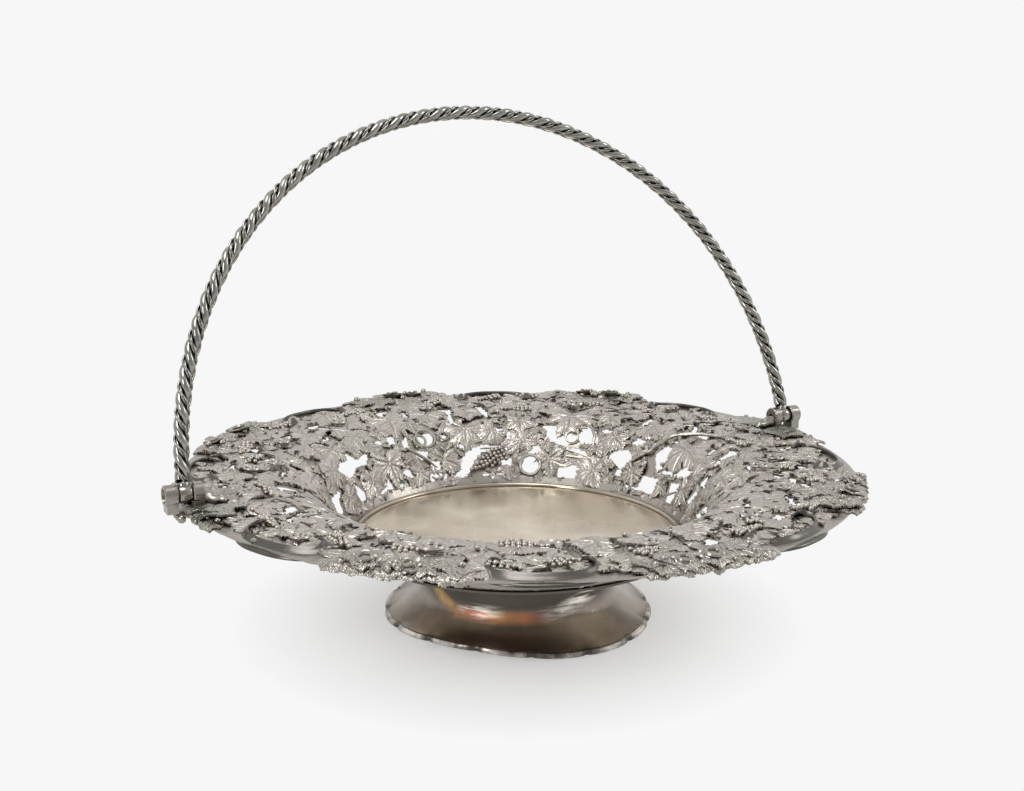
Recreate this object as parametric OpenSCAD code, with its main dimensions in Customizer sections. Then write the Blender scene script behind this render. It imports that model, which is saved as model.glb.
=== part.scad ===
// Silver cake basket: a round dish with a pierced grapevine border on a lobed foot,
// and a rope-twist swing handle hinged on two brackets at the rim.
// Millimetres. The origin is the centre of the foot on the table, +Z is up and
// X runs along the hinge axis.

/* [Dish] */
// Radius of the rim's plain outer edge
rim_r = 160; // [150:0.5:172]
// Height of the border's outer edge above the table
rim_z = 72.3; // [66:0.1:80]
// Radius of the half-round wire around the well
ring_r = 77.8; // [71:0.1:86]
// Height of the flange that carries the wire and the border
flange_z = 38.9; // [35:0.1:43]
// Diameter of the half-round wire
ring_d = 3.2; // [2:0.1:4.6]
// Width of the flange outside the wire
flange_w = 2.4; // [2:0.1:4]
// Depth of the well below its flange
well_depth = 4.6; // [2:0.1:6]
// Thickness of the well
well_t = 1; // [0.8:0.1:1.6]
// Slope of the border's wall from the horizontal, in degrees
wall_angle = 57; // [50:1:64]
// Slope of the border's brim from the horizontal, in degrees
brim_angle = 3; // [1:0.5:8]
// Radius of the shoulder between wall and brim
shoulder_r = 32; // [24:1:42]
// Thickness of the pierced border
border_t = 1.5; // [1.1:0.1:2.2]
// Gap that solder fills between two pieces
solder_gap = 0.12; // [0.08:0.01:0.25]

/* [Piercing] */
// Half length of a pierced gap in the wall
wall_gap = 6; // [4:0.25:7]
// Half length of a pierced gap in the brim
brim_gap = 5; // [3:0.25:6]
// Height of the lower row of gaps along the wall
wall_row_1 = 9; // [7:0.25:10]
// Height of the upper row of gaps along the wall
wall_row_2 = 22; // [20:0.25:24]
// Distance of the inner row of gaps along the brim from its corner with the wall
brim_row_1 = 20; // [17:0.5:22]
// Distance of the outer row of gaps along the brim from its corner with the wall
brim_row_2 = 36; // [32:0.5:37.5]
// How deep the leaf edges bite into each gap, as a share of its size
leaf_bite = 0.3; // [0.1:0.05:0.4]

/* [Vine leaves] */
// Length of a cast vine leaf on the wall, from its middle to a tip
wall_leaf = 7; // [5:0.25:8]
// Length of a cast vine leaf on the brim, from its middle to a tip
brim_leaf = 8; // [6:0.25:9]
// How far the middle of a vine leaf stands above the border
leaf_rise = 2; // [1:0.1:2.6]
// How far the notches of a vine leaf reach, as a share of its tips
leaf_waist = 0.62; // [0.5:0.02:0.8]

/* [Foot] */
// Radius of the foot's edge at the tips of its lobes
foot_r = 64.5; // [58:0.5:72]
// Height of the foot's edge
edge_h = 2.4; // [1.6:0.1:3.5]
// Width of the foot's edge
edge_w = 5; // [4:0.1:6.5]
// Number of lobes around the foot
foot_lobes = 16; // [12:1:20]
// How far the notches between lobes cut in
notch_depth = 1.5; // [0.8:0.1:2]
// Radius of the neck
neck_r = 46; // [40:0.5:50]
// Height of the crease between neck and skirt
neck_z = 13.4; // [11:0.1:17]
// Thickness of the foot's sheet
foot_t = 1.2; // [0.8:0.1:1.8]

/* [Rim mounts] */
// Width of a plain rim scroll
scroll_w = 9; // [7:0.25:11]
// Height of a plain rim scroll
scroll_h = 3.6; // [2.6:0.1:4.2]
// Half angle of a plain rim scroll, in degrees
scroll_half = 11; // [8:0.5:12]
// Radius of the volute at each end of a scroll
volute_r = 2.8; // [2:0.1:3.2]
// Half length of a rim cluster along the rim
cluster_half = 27; // [23:0.5:29]
// Width of a rim cluster's middle plate
cluster_w = 23; // [19:0.5:25]
// Thickness of a rim cluster's plate
cluster_t = 1.4; // [1:0.1:2]
// How far a rim cluster stands out past the plain rim
cluster_out = 4; // [2:0.25:5]
// Length of a vine leaf on a cluster
leaf_l = 17; // [13:0.5:19]
// Radius of a berry
berry_r = 1.7; // [1.2:0.1:2]
// Radius of a rose on a cluster
rose_r = 4.6; // [3.5:0.1:5.5]

/* [Hinges] */
// How far the middle of a hinge barrel lies inside the rim's edge
hinge_inset = 1.3; // [0:0.1:4]
// Height of the hinge axis above the brim's top
hinge_lift = 6.2; // [5:0.1:8]
// Diameter of the hinge pin
pin_d = 3; // [2.4:0.1:3.6]
// Running clearance around the pin in the barrel, on the radius
pin_run = 0.06; // [0.03:0.01:0.1]
// Fit clearance around the pin in the ears, on the radius
pin_fit = 0.02; // [0.01:0.01:0.05]
// Diameter of the hinge ears
ear_d = 9.2; // [8.4:0.1:10]
// Length of the outer ear
ear_out = 5.8; // [4:0.1:7]
// Length of the inner ear
ear_in = 4.6; // [3.5:0.1:6]
// Diameter of the handle's barrel
barrel_d = 7.4; // [6.4:0.1:7.8]
// Length of the handle's barrel
barrel_w = 5.6; // [4.8:0.1:6.2]
// Clearance between the barrel and each ear
side_run = 0.3; // [0.2:0.05:0.5]
// Width of the hinge bracket's plate
bracket_w = 17; // [14:0.5:20]
// Reach of the hinge bracket's plate inside the rim's edge
bracket_in = 24; // [18:0.5:30]
// Thickness of the hinge bracket's plate
bracket_t = 1.3; // [1:0.1:1.6]
// Clearance between the barrel and the plate beneath it
barrel_gap = 0.5; // [0.4:0.05:0.8]

/* [Handle] */
// Rise of the handle above the hinge axis
handle_rise = 165; // [150:1:185]
// Diameter of a thick strand of the rope twist
strand_d = 3.2; // [2.6:0.05:3.25]
// Distance from the rope's centre line to each strand's centre line
strand_off = 1.75; // [1.75:0.05:1.9]
// Diameter of the thin cord between two strands
cord_d = 1.8; // [1.4:0.05:1.9]
// Distance from the rope's centre line to each cord's centre line
cord_off = 2.3; // [2.3:0.05:2.5]
// Length of rope in which a strand goes round once
rope_lay = 22.6; // [22:0.1:30]
// Lean of the handle from upright at rest, away from the front, in degrees
handle_lean = 19; // [0:1:40]
// Gap between the hinge ears and the end of the rope
rope_gap = 0.5; // [0.4:0.05:1]
// Room between the barrel's stub and the strands' soldered ends
strand_room = 0.25; // [0.2:0.05:0.4]

/* [Hidden] */
$fn = 48;
// Number of repeats round the dish, and the angle of each
bays = 8;
bay = 360 / bays;
// Radius of the well's spherical bottom, and its centre height
well_edge = ring_r - ring_d / 2 - 1;
well_r = (well_edge * well_edge + well_depth * well_depth) / (2 * well_depth);
well_c = flange_z - well_depth + well_r;
// Where the middle line of the wall would meet the middle line of the brim
wall_r0 = ring_r + ring_d / 2 + solder_gap + border_t / 2 * sin(wall_angle);
wall_z0 = flange_z + solder_gap;
edge_r = rim_r - 2;
knee_t = (rim_z - wall_z0 - (edge_r - wall_r0) * tan(brim_angle))
    / (sin(wall_angle) - cos(wall_angle) * tan(brim_angle));
knee_r = wall_r0 + knee_t * cos(wall_angle);
knee_z = wall_z0 + knee_t * sin(wall_angle);
// Tangent length of the shoulder arc and its centre
knee_half = (wall_angle - brim_angle) / 2;
knee_cut = shoulder_r * tan(knee_half);
arc_r = knee_r + knee_cut * cos(brim_angle) + shoulder_r * sin(brim_angle);
arc_z = knee_z + knee_cut * sin(brim_angle) - shoulder_r * cos(brim_angle);
// Runs along the border's middle line: up the wall, round the shoulder and out to a radius of the brim
wall_run = knee_t - knee_cut;
arc_run = shoulder_r * (wall_angle - brim_angle) * PI / 180;
brim_r0 = arc_r - shoulder_r * sin(brim_angle);
brim_z0 = arc_z + shoulder_r * cos(brim_angle);
function brim_run(r) = wall_run + arc_run + (r - brim_r0) / cos(brim_angle);
// The middle line at a run from the wall's foot: radius, height and slope
function border_at(s) =
    s < wall_run ? [wall_r0 + s * cos(wall_angle), wall_z0 + s * sin(wall_angle), wall_angle]
    : s < wall_run + arc_run
        ? let (a = wall_angle - (s - wall_run) / shoulder_r * 180 / PI)
            [arc_r - shoulder_r * sin(a), arc_z + shoulder_r * cos(a), a]
    : let (d = s - wall_run - arc_run)
        [brim_r0 + d * cos(brim_angle), brim_z0 + d * sin(brim_angle), brim_angle];
// A point of the border at an angle, a run and a lift above the middle line
function border_point(a, s, lift) =
    let (m = border_at(s), r = m[0] - lift * sin(m[2]))
    [r * cos(a), r * sin(a), m[1] + lift * cos(m[2])];
// Height of the brim's top surface at a radius
function brim_top(r) = knee_z + (r - knee_r) * tan(brim_angle) + border_t / 2 / cos(brim_angle);
// A flat plate of this half length rides above the brim's slight cone by this much
cluster_mid = rim_r + cluster_out - cluster_w / 2;
plate_rise = (norm([cluster_mid, cluster_half]) - cluster_mid) * tan(brim_angle);
seat_gap = plate_rise + solder_gap;
big = 400;
// The skirt's curve runs from the neck's crease to the foot's edge
skirt_top_r = neck_r;
skirt_low_r = foot_r - notch_depth - 0.6;
skirt_z0 = edge_h + solder_gap;
skirt_drop = neck_z - skirt_z0;
skirt_run = skirt_low_r - skirt_top_r;
// Hinge axis, and the hinge's stations along X
hinge_x = rim_r - hinge_inset;
hinge_z = brim_top(hinge_x) + hinge_lift;
barrel_in = hinge_x - barrel_w / 2;
barrel_out = hinge_x + barrel_w / 2;
ear_top = ear_d / 2;
base_top = hinge_z - barrel_d / 2 - barrel_gap;
// Rope: start height above the axis, number of strands, and rings and sides of each wire
rope_start = ear_top + rope_gap;
strands = 2;
wire_sides = 6;
rope_rings = 176;
// A strand's end is tilted with the twist, so its low side hangs this far below its centre
rope_tilt = atan(2 * PI * strand_off / rope_lay);
end_drop = strand_d / 2 * sin(rope_tilt);

// Points of a lobed leaf, tip along +X, from the base
function leaf_points(len) = [
    for (i = [0:23])
    let (t = i * 15, lobe = 0.72 + 0.28 * cos(5 * (t - 36) + 180))
    [len * (0.5 + 0.5 * cos(t) * lobe), len * 0.46 * sin(t) * lobe]
];

// Points of a ragged gap between leaves, at a plan radius and angle, squashed on a slope
function gap_points(r, a, long, wide, turn, lobes) = [
    for (i = [0:gap_sides - 1])
    let (t = 360 * i / gap_sides, k = 1 + leaf_bite * cos(lobes * t + turn))
    let (u = long * k * cos(t), v = wide * k * sin(t))
    let (pr = r + v, pa = a + u / r * 180 / PI)
    [pr * cos(pa), pr * sin(pa)]
];

// Number of sides of a gap
gap_sides = 18;
// One bay of the border is centred at angle 0. Each row is a plan radius, an angle,
// the half length, the half width in plan, a turn and a number of lobes.
wall_plan = cos(wall_angle);
low_r = wall_r0 + wall_row_1 * wall_plan;
mid_r = wall_r0 + wall_row_2 * wall_plan;
brim_r1 = knee_r + brim_row_1;
brim_r2 = knee_r + brim_row_2;
gaps = [
    [low_r, -17, wall_gap * 0.75, wall_gap * 0.8 * wall_plan, 40, 3],
    [low_r, -5.5, wall_gap * 0.8, wall_gap * 0.9 * wall_plan, 200, 3],
    [low_r, 6.5, wall_gap * 0.8, wall_gap * 0.85 * wall_plan, 120, 4],
    [low_r, 17.2, wall_gap * 0.7, wall_gap * 0.8 * wall_plan, 300, 3],
    [mid_r, -12, wall_gap, wall_gap * 0.85 * wall_plan, 90, 3],
    [mid_r, 1, wall_gap * 0.85, wall_gap * 0.8 * wall_plan, 10, 4],
    [mid_r, 12.5, wall_gap, wall_gap * 0.85 * wall_plan, 250, 3],
    [brim_r1, -14, brim_gap, brim_gap * 0.7, 60, 3],
    [brim_r1, -2, brim_gap * 0.9, brim_gap * 0.6, 180, 4],
    [brim_r1, 11, brim_gap, brim_gap * 0.7, 330, 3],
    [brim_r2, -8, brim_gap, brim_gap * 0.6, 150, 3],
    [brim_r2, 6, brim_gap * 0.9, brim_gap * 0.7, 20, 4]
];

// Vine leaves of one bay, as an angle, a run, a length and a turn. The outer ones on the brim
// stay inside the rim's clusters, and the middle one inside the scroll, with this much room.
leaf_room = 1.2;
shoulder_run = wall_run + arc_run / 2;
inner_run = brim_run(brim_r1);
outer_run = brim_run(rim_r + cluster_out - cluster_w - brim_leaf - leaf_room);
scroll_run = brim_run(rim_r - scroll_w - brim_leaf - leaf_room);
vine_leaves = [
    [-11.2, wall_row_1, wall_leaf * 0.9, 190], [0.5, wall_row_1, wall_leaf * 0.9, 170],
    [11.9, wall_row_1, wall_leaf * 0.9, 185], [-17, wall_row_2, wall_leaf, 165],
    [-5.5, wall_row_2, wall_leaf, 195], [6.8, wall_row_2, wall_leaf, 180],
    [17, wall_row_2, wall_leaf, 200], [-14, shoulder_run, wall_leaf * 1.2, 175],
    [-4.6, shoulder_run, wall_leaf * 1.2, 205], [5.2, shoulder_run, wall_leaf * 1.2, 160],
    [14.6, shoulder_run, wall_leaf * 1.2, 190], [-8, inner_run, brim_leaf, 170],
    [4.5, inner_run, brim_leaf, 200], [17, inner_run, brim_leaf, 150],
    [-14, outer_run, brim_leaf, 20], [14, outer_run, brim_leaf, 340], [-1, scroll_run, brim_leaf, 10]
];

// Lobed outline of the foot: a disc with a rounded lobe in each sector
module foot_outline(r) {
    step = 360 / foot_lobes;
    lobe_r = r * sin(step / 2) * 1.08;
    circle(r - notch_depth, $fn = 96);
    for (i = [0:foot_lobes - 1])
        rotate((i + 0.5) * step) translate([r - lobe_r, 0]) circle(lobe_r);
}

module foot_edge() {
    color("#8f877c") difference() {
        linear_extrude(edge_h) foot_outline(foot_r);
        translate([0, 0, -1]) cylinder(r = foot_r - edge_w, h = edge_h + 2, $fn = 96);
    }
}

// The skirt sweeps out from the crease in a hollow curve to the edge
module foot_skirt() {
    steps = 10;
    function curve_z(u) = skirt_z0 + skirt_drop * pow(1 - u, 1.55);
    outer = [for (i = [0:steps]) [skirt_top_r + skirt_run * i / steps, curve_z(i / steps)]];
    inner = [for (i = [steps:-1:0]) [skirt_top_r - foot_t + (skirt_run - 1) * i / steps,
        max(skirt_z0, curve_z(i / steps) - foot_t * 1.3)]];
    color("#857d72") rotate_extrude($fn = 96) polygon(concat(outer, inner));
}

// The neck's top edge is cut to the well's rounded underside
module foot_neck() {
    color("#8d8479") rotate_extrude($fn = 96) difference() {
        translate([neck_r - foot_t, neck_z + solder_gap]) square([foot_t, flange_z - neck_z]);
        translate([0, well_c]) circle(well_r + well_t + solder_gap, $fn = 720);
    }
}

module dish_well() {
    color("#b9b1a6") union() {
        rotate_extrude($fn = 96) intersection() {
            translate([0, well_c]) difference() {
                circle(well_r + well_t, $fn = 720);
                circle(well_r, $fn = 720);
            }
            square([well_edge + 0.01, flange_z]);
        }
        rotate_extrude($fn = 96)
            translate([well_edge, flange_z - well_t])
            square([ring_r + ring_d / 2 + flange_w - well_edge, well_t]);
    }
}

module well_ring() {
    color("#b5ab99") rotate_extrude($fn = 96)
        translate([ring_r, flange_z + solder_gap]) intersection() {
            circle(d = ring_d);
            translate([-ring_d, 0]) square([2 * ring_d, ring_d]);
        }
}

// Points of one side of the border's section, at a distance from its middle line:
// the wall's foot, the shoulder arc and the brim's edge
function border_side(off) = concat(
    [[wall_r0 - 6 * cos(wall_angle) - off * sin(wall_angle),
      wall_z0 - 6 * sin(wall_angle) + off * cos(wall_angle)]],
    [for (i = [0:8]) let (a = 90 + wall_angle - (wall_angle - brim_angle) * i / 8)
        [arc_r + (shoulder_r + off) * cos(a), arc_z + (shoulder_r + off) * sin(a)]],
    [[edge_r - off * sin(brim_angle), rim_z + off * cos(brim_angle)]]
);
function reversed(list) = [for (i = [len(list) - 1:-1:0]) list[i]];

// Cross-section of the border, cut flat on the flange and clear of the wire
module border_profile() {
    intersection() {
        polygon(concat(border_side(border_t / 2), reversed(border_side(-border_t / 2))));
        translate([ring_r + ring_d / 2 + solder_gap, flange_z + solder_gap]) square([big, big]);
    }
}

// A cast five-lobed leaf on the border: a raised middle, and an outline rooted in the sheet
leaf_tips = 5;
function leaf_ring(a, s, len, turn, lift) = [
    for (i = [0:2 * leaf_tips - 1])
    let (t = turn + 180 * i / leaf_tips, reach = len * (i % 2 == 0 ? 1 : leaf_waist))
    border_point(a + reach * sin(t) / border_at(s)[0] * 180 / PI, s + reach * cos(t), lift)
];

module vine_leaf(a, s, len, turn) {
    n = 2 * leaf_tips;
    face = border_t / 2;
    points = concat(
        [border_point(a, s, face + leaf_rise)],
        leaf_ring(a, s, len, turn, face + leaf_rise / 2),
        leaf_ring(a, s, len, turn, 0),
        [border_point(a, s, 0)]
    );
    faces = [for (i = [0:n - 1], f = [0:3]) let (top = 1 + i, next = 1 + (i + 1) % n)
        f == 0 ? [0, next, top]
        : f == 1 ? [top + n, top, next]
        : f == 2 ? [top + n, next, next + n]
        : [2 * n + 1, top + n, next + n]];
    polyhedron(points, faces);
}

module vine_panel(k) {
    seam = solder_gap / wall_r0 * 180 / PI;
    color("#989086") rotate((k - 1) * bay) difference() {
        union() {
            rotate(seam / 2) rotate_extrude(angle = bay - seam, $fn = 128) border_profile();
            rotate(bay / 2) for (v = vine_leaves) vine_leaf(v[0], v[1], v[2], v[3]);
        }
        rotate(bay / 2) linear_extrude(2 * rim_z)
            for (g = gaps)
                polygon(gap_points(g[0], g[1], g[2], g[3], g[4], g[5]));
    }
}

// A plain C-scroll between two clusters: a ridge with a groove, curled up at both ends
module rim_scroll(k) {
    mid_r = rim_r - scroll_w / 2;
    seat = brim_top(mid_r) + seat_gap;
    arc = (scroll_w * scroll_w / 4 + scroll_h * scroll_h) / (2 * scroll_h);
    color("#a59d92") rotate((k - 0.5) * bay) union() {
        rotate(-scroll_half) rotate_extrude(angle = 2 * scroll_half, $fn = 128)
            translate([mid_r, seat]) rotate(brim_angle) difference() {
                intersection() {
                    translate([0, scroll_h - arc]) circle(arc);
                    translate([-scroll_w, 0]) square([2 * scroll_w, 2 * scroll_h]);
                }
                translate([-scroll_w * 0.12, scroll_h + 0.7]) circle(1.5);
            }
        for (side = [-1, 1])
            rotate(side * scroll_half) translate([mid_r - volute_r * 0.6, 0, seat])
                intersection() {
                    sphere(volute_r);
                    translate([-volute_r, -volute_r, 0.02]) cube(2 * volute_r);
                }
    }
}

// Places a cluster: its flat back lies on the brim, X points outward along the rim's radius
module on_brim(k) {
    rotate((k - 1) * bay) translate([cluster_mid, 0, brim_top(cluster_mid) + seat_gap])
        rotate([0, -brim_angle, 0]) children();
}

module leaf(len, t) {
    linear_extrude(t) polygon(leaf_points(len));
}

// How far the rim falls back from a cluster's middle at a distance along it
function rim_back(y) = y * y / (2 * rim_r);

// A cast spray of leaves, berries and one open rose
module rim_cluster(k) {
    lobe = cluster_half - cluster_w * 0.3;
    color("#9a9288") on_brim(k) union() {
        linear_extrude(cluster_t) {
            circle(cluster_w / 2);
            for (side = [-1, 1]) {
                translate([-rim_back(lobe / 2), side * lobe / 2]) circle(cluster_w * 0.42);
                translate([-rim_back(lobe), side * lobe]) circle(cluster_w * 0.3);
            }
        }
        for (side = [-1, 1]) {
            translate([1, side * 7, 0]) rotate(side * 96) leaf(leaf_l, cluster_t + 1.2);
            translate([-1, side * 3, 0]) rotate(side * 150) leaf(leaf_l * 0.72, cluster_t + 1.6);
        }
        translate([cluster_w * 0.24, 0, cluster_t]) {
            cylinder(r1 = rose_r, r2 = rose_r * 0.8, h = 1.6);
            translate([0, 0, 1.6]) sphere(rose_r * 0.42);
        }
        for (side = [-1, 1], i = [0:2])
            let (y = rose_r + berry_r + 1 + i * 2.1 * berry_r)
            translate([cluster_w * 0.34 - rim_back(y) - i, side * y, cluster_t])
                sphere(berry_r);
    }
}

// Hinge bracket: a leaf-shaped plate on the brim with two ears for the pin
module hinge_bracket(turn) {
    plate_in = rim_r - bracket_in;
    ear_in_x = barrel_in - side_run - ear_in;
    ear_out_x = barrel_out + side_run;
    plate_z = brim_top(ear_in_x) + seat_gap;
    color("#9a9288") rotate(turn) difference() {
        union() {
            translate([0, 0, brim_top(plate_in) + seat_gap]) translate([plate_in, 0, 0])
                rotate([0, -brim_angle, 0]) linear_extrude(bracket_t) {
                    translate([bracket_w / 2, 0]) circle(d = bracket_w);
                    translate([bracket_w / 2, -bracket_w / 2])
                        square([ear_out_x + ear_out - plate_in - bracket_w, bracket_w]);
                    translate([ear_out_x + ear_out - plate_in - bracket_w / 2, 0])
                        circle(d = bracket_w);
                }
            for (e = [[ear_in_x, ear_in], [ear_out_x, ear_out]]) {
                translate([e[0], 0, hinge_z]) rotate([0, 90, 0]) cylinder(d = ear_d, h = e[1]);
                translate([e[0], -ear_d / 2, plate_z + 0.2])
                    cube([e[1], ear_d, hinge_z - plate_z - 0.2]);
            }
            for (side = [-1, 1])
                translate([ear_out_x + ear_out - berry_r, side * bracket_w * 0.28,
                    brim_top(ear_out_x + ear_out - berry_r) + seat_gap + bracket_t / 2])
                    sphere(berry_r);
        }
        translate([ear_in_x - 1, 0, hinge_z]) rotate([0, 90, 0])
            cylinder(d = pin_d + 2 * pin_fit, h = big / 10);
        translate([barrel_in - side_run, -bracket_w, base_top])
            cube([barrel_w + 2 * side_run, 2 * bracket_w, ear_d]);
    }
}

// The pin is riveted flush with the outer ear's end
module hinge_pin(turn) {
    color("#7d766c") rotate(turn)
        translate([barrel_in - side_run - ear_in, 0, hinge_z]) rotate([0, 90, 0])
            cylinder(d = pin_d, h = ear_in + barrel_w + 2 * side_run + ear_out);
}

// Leans the handle back about the hinge axis
module leaning() {
    translate([0, 0, hinge_z]) rotate([-handle_lean, 0, 0]) children();
}

// The barrel turns on the pin, and its stub carries the rope
module handle_knuckle(side) {
    color("#8b8479") leaning() difference() {
        union() {
            translate([side * hinge_x, 0, 0]) rotate([0, 90, 0])
                cylinder(d = barrel_d, h = barrel_w, center = true);
            translate([side * hinge_x, 0, 0]) cylinder(d = barrel_w - 0.4, h = rope_start);
        }
        translate([side * hinge_x, 0, 0]) rotate([0, 90, 0])
            cylinder(d = pin_d + 2 * pin_run, h = 2 * barrel_w, center = true);
    }
}

// The rope's centre line is a half ellipse from one barrel to the other
rope_u0 = asin((rope_start + strand_room + end_drop) / handle_rise);
function rope_at(u) = [hinge_x * cos(u), 0, handle_rise * sin(u)];
function rope_out(u) = let (n = [handle_rise * cos(u), 0, hinge_x * sin(u)]) n / norm(n);
function rope_angle(i) = rope_u0 + (180 - 2 * rope_u0) * i / rope_rings;
// Running length of the rope up to each ring
rope_steps = [for (i = [0:rope_rings - 1]) norm(rope_at(rope_angle(i + 1)) - rope_at(rope_angle(i)))];
rope_run = [for (i = 0, s = 0; i <= rope_rings; s = s + (i < rope_rings ? rope_steps[i] : 0), i = i + 1) s];
// A wire's centre winds round the rope's centre line, and its rings face along the wire
function wound_at(i, turn, off) =
    let (u = rope_angle(i), w = turn - 360 * rope_run[i] / rope_lay)
    rope_at(u) + off * (cos(w) * rope_out(u) + [0, sin(w), 0]);
function wound_tangent(i, turn, off) =
    let (a = wound_at(max(i - 1, 0), turn, off), b = wound_at(min(i + 1, rope_rings), turn, off))
    (b - a) / norm(b - a);
function wound_ring(i, turn, off, d) =
    let (p = wound_at(i, turn, off), t = wound_tangent(i, turn, off))
    let (n0 = cross(t, rope_out(rope_angle(i))), n = n0 / norm(n0), b = cross(t, n))
    [for (j = [0:wire_sides - 1]) let (a = 360 * (j + 0.5) / wire_sides)
        p + d / 2 * (cos(a) * n + sin(a) * b)];

module wound_wire(turn, off, d) {
    m = wire_sides;
    points = [for (i = [0:rope_rings], p = wound_ring(i, turn, off, d)) p];
    walls = [for (i = [0:rope_rings - 1], j = [0:m - 1], h = [0, 1])
        let (a = i * m + j, b = i * m + (j + 1) % m)
        h == 0 ? [a, b, a + m] : [b, b + m, a + m]];
    ends = [for (j = [1:m - 2], e = [0, 1])
        e == 0 ? [0, j + 1, j] : [rope_rings * m, rope_rings * m + j, rope_rings * m + j + 1]];
    polyhedron(points, concat(walls, ends), convexity = 8);
}

module handle_strand(s) {
    color("#7f786e") leaning() wound_wire(360 * (s - 1) / strands, strand_off, strand_d);
}

// A cord stands for two thin twisted wires, and lies in the groove after a strand
module handle_cord(s) {
    color("#6f695f") leaning() wound_wire(360 * (s - 0.5) / strands, cord_off, cord_d);
}

foot_edge();
foot_skirt();
foot_neck();
dish_well();
well_ring();
vine_panel(1);  // vine_panel_1
vine_panel(2);  // vine_panel_2
vine_panel(3);  // vine_panel_3
vine_panel(4);  // vine_panel_4
vine_panel(5);  // vine_panel_5
vine_panel(6);  // vine_panel_6
vine_panel(7);  // vine_panel_7
vine_panel(8);  // vine_panel_8
rim_scroll(1);  // rim_scroll_1
rim_scroll(2);  // rim_scroll_2
rim_scroll(3);  // rim_scroll_3
rim_scroll(4);  // rim_scroll_4
rim_scroll(5);  // rim_scroll_5
rim_scroll(6);  // rim_scroll_6
rim_scroll(7);  // rim_scroll_7
rim_scroll(8);  // rim_scroll_8
rim_cluster(2);  // rim_cluster_2
rim_cluster(3);  // rim_cluster_3
rim_cluster(4);  // rim_cluster_4
rim_cluster(6);  // rim_cluster_6
rim_cluster(7);  // rim_cluster_7
rim_cluster(8);  // rim_cluster_8
hinge_bracket(0);  // hinge_bracket_right
hinge_bracket(180);  // hinge_bracket_left
hinge_pin(0);  // hinge_pin_right
hinge_pin(180);  // hinge_pin_left
handle_knuckle(1);  // handle_knuckle_right
handle_knuckle(-1);  // handle_knuckle_left
handle_strand(1);  // handle_strand_1
handle_strand(2);  // handle_strand_2
handle_cord(1);  // handle_cord_1
handle_cord(2);  // handle_cord_2
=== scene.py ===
"""A silver cake basket: pierced grapevine border, lobed foot and a rope-twist swing handle."""
import math
import random

import bmesh
import bpy
from mathutils import Matrix, Vector, noise


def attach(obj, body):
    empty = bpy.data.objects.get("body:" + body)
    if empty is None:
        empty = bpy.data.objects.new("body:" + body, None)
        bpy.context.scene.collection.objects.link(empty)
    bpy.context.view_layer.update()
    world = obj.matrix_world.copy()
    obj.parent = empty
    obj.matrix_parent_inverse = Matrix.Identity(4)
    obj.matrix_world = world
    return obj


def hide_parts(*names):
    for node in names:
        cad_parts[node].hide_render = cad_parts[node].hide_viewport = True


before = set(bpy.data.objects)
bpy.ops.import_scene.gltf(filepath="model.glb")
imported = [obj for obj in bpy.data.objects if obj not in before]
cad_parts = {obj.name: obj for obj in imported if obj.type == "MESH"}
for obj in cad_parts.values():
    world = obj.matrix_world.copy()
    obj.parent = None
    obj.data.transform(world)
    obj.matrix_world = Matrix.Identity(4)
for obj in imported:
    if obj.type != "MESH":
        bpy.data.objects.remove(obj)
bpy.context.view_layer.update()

# Sizes are in millimetres and angles in degrees, and each finished mesh is turned to metres
MM = 0.001
BAYS = 8
BAY = 360 / BAYS

# The border's section: a steep wall, a round shoulder and a nearly level brim
RING_R = 77.8
RING_D = 3.2
FLANGE_W = 2.4
FLANGE_Z = 38.9
SOLDER = 0.12
BORDER_T = 1.5
RIM_R = 160.0
RIM_Z = 72.3
EDGE_R = RIM_R - 2
WALL = math.radians(57)
BRIM = math.radians(3)
SHOULDER_R = 32.0
WALL_R = RING_R + RING_D / 2 + SOLDER + BORDER_T / 2 * math.sin(WALL)
WALL_Z = FLANGE_Z + SOLDER
KNEE_RUN = (RIM_Z - WALL_Z - (EDGE_R - WALL_R) * math.tan(BRIM)) / (
    math.sin(WALL) - math.cos(WALL) * math.tan(BRIM))
KNEE_CUT = SHOULDER_R * math.tan((WALL - BRIM) / 2)
WALL_RUN = KNEE_RUN - KNEE_CUT
ARC_RUN = SHOULDER_R * (WALL - BRIM)
ARC_R = WALL_R + WALL_RUN * math.cos(WALL) + SHOULDER_R * math.sin(WALL)
ARC_Z = WALL_Z + WALL_RUN * math.sin(WALL) - SHOULDER_R * math.cos(WALL)
BRIM_R = ARC_R - SHOULDER_R * math.sin(BRIM)
BRIM_RUN = WALL_RUN + ARC_RUN
EDGE_RUN = BRIM_RUN + (EDGE_R - BRIM_R) / math.cos(BRIM)
LIP_RUN = EDGE_RUN - 1.0
LIP_BEND = 3.6

# The well and the foot
WELL_T = 1.0
WELL_DEPTH = 4.6
FOOT_R = 64.5
FOOT_T = 1.2
FOOT_LOBES = 16
NOTCH = 1.5
EDGE_H = 2.4
EDGE_W = 5.0
NECK_R = 46.0
NECK_Z = 13.4

# The hinge and the rope handle
HINGE_X = RIM_R - 1.3
HINGE_Z = 79.2877
HANDLE_RISE = 165.0
HANDLE_LEAN = 19.0
PIN_D = 3.0
EAR_D = 9.2
EAR_OUT = 5.8
EAR_IN = 4.6
BARREL_D = 7.4
BARREL_W = 5.6
SIDE_RUN = 0.3
STRAND_D = 3.2
STRAND_OFF = 1.75
ROPE_LAY = 22.6
ROPE_START = EAR_D / 2 + 0.5

# The camera, in pixels, millimetres and degrees, and its near clip in metres
IMAGE_W = 1024
FOCAL_PX = 1317.1
SENSOR_W = 36.0
EYE = Vector((-286.04, -532.37, 239.59))
LOOK = Vector((0.45761, 0.86243, -0.21634))
ROLL = 0.271
CLIP_START = 0.01

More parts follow.
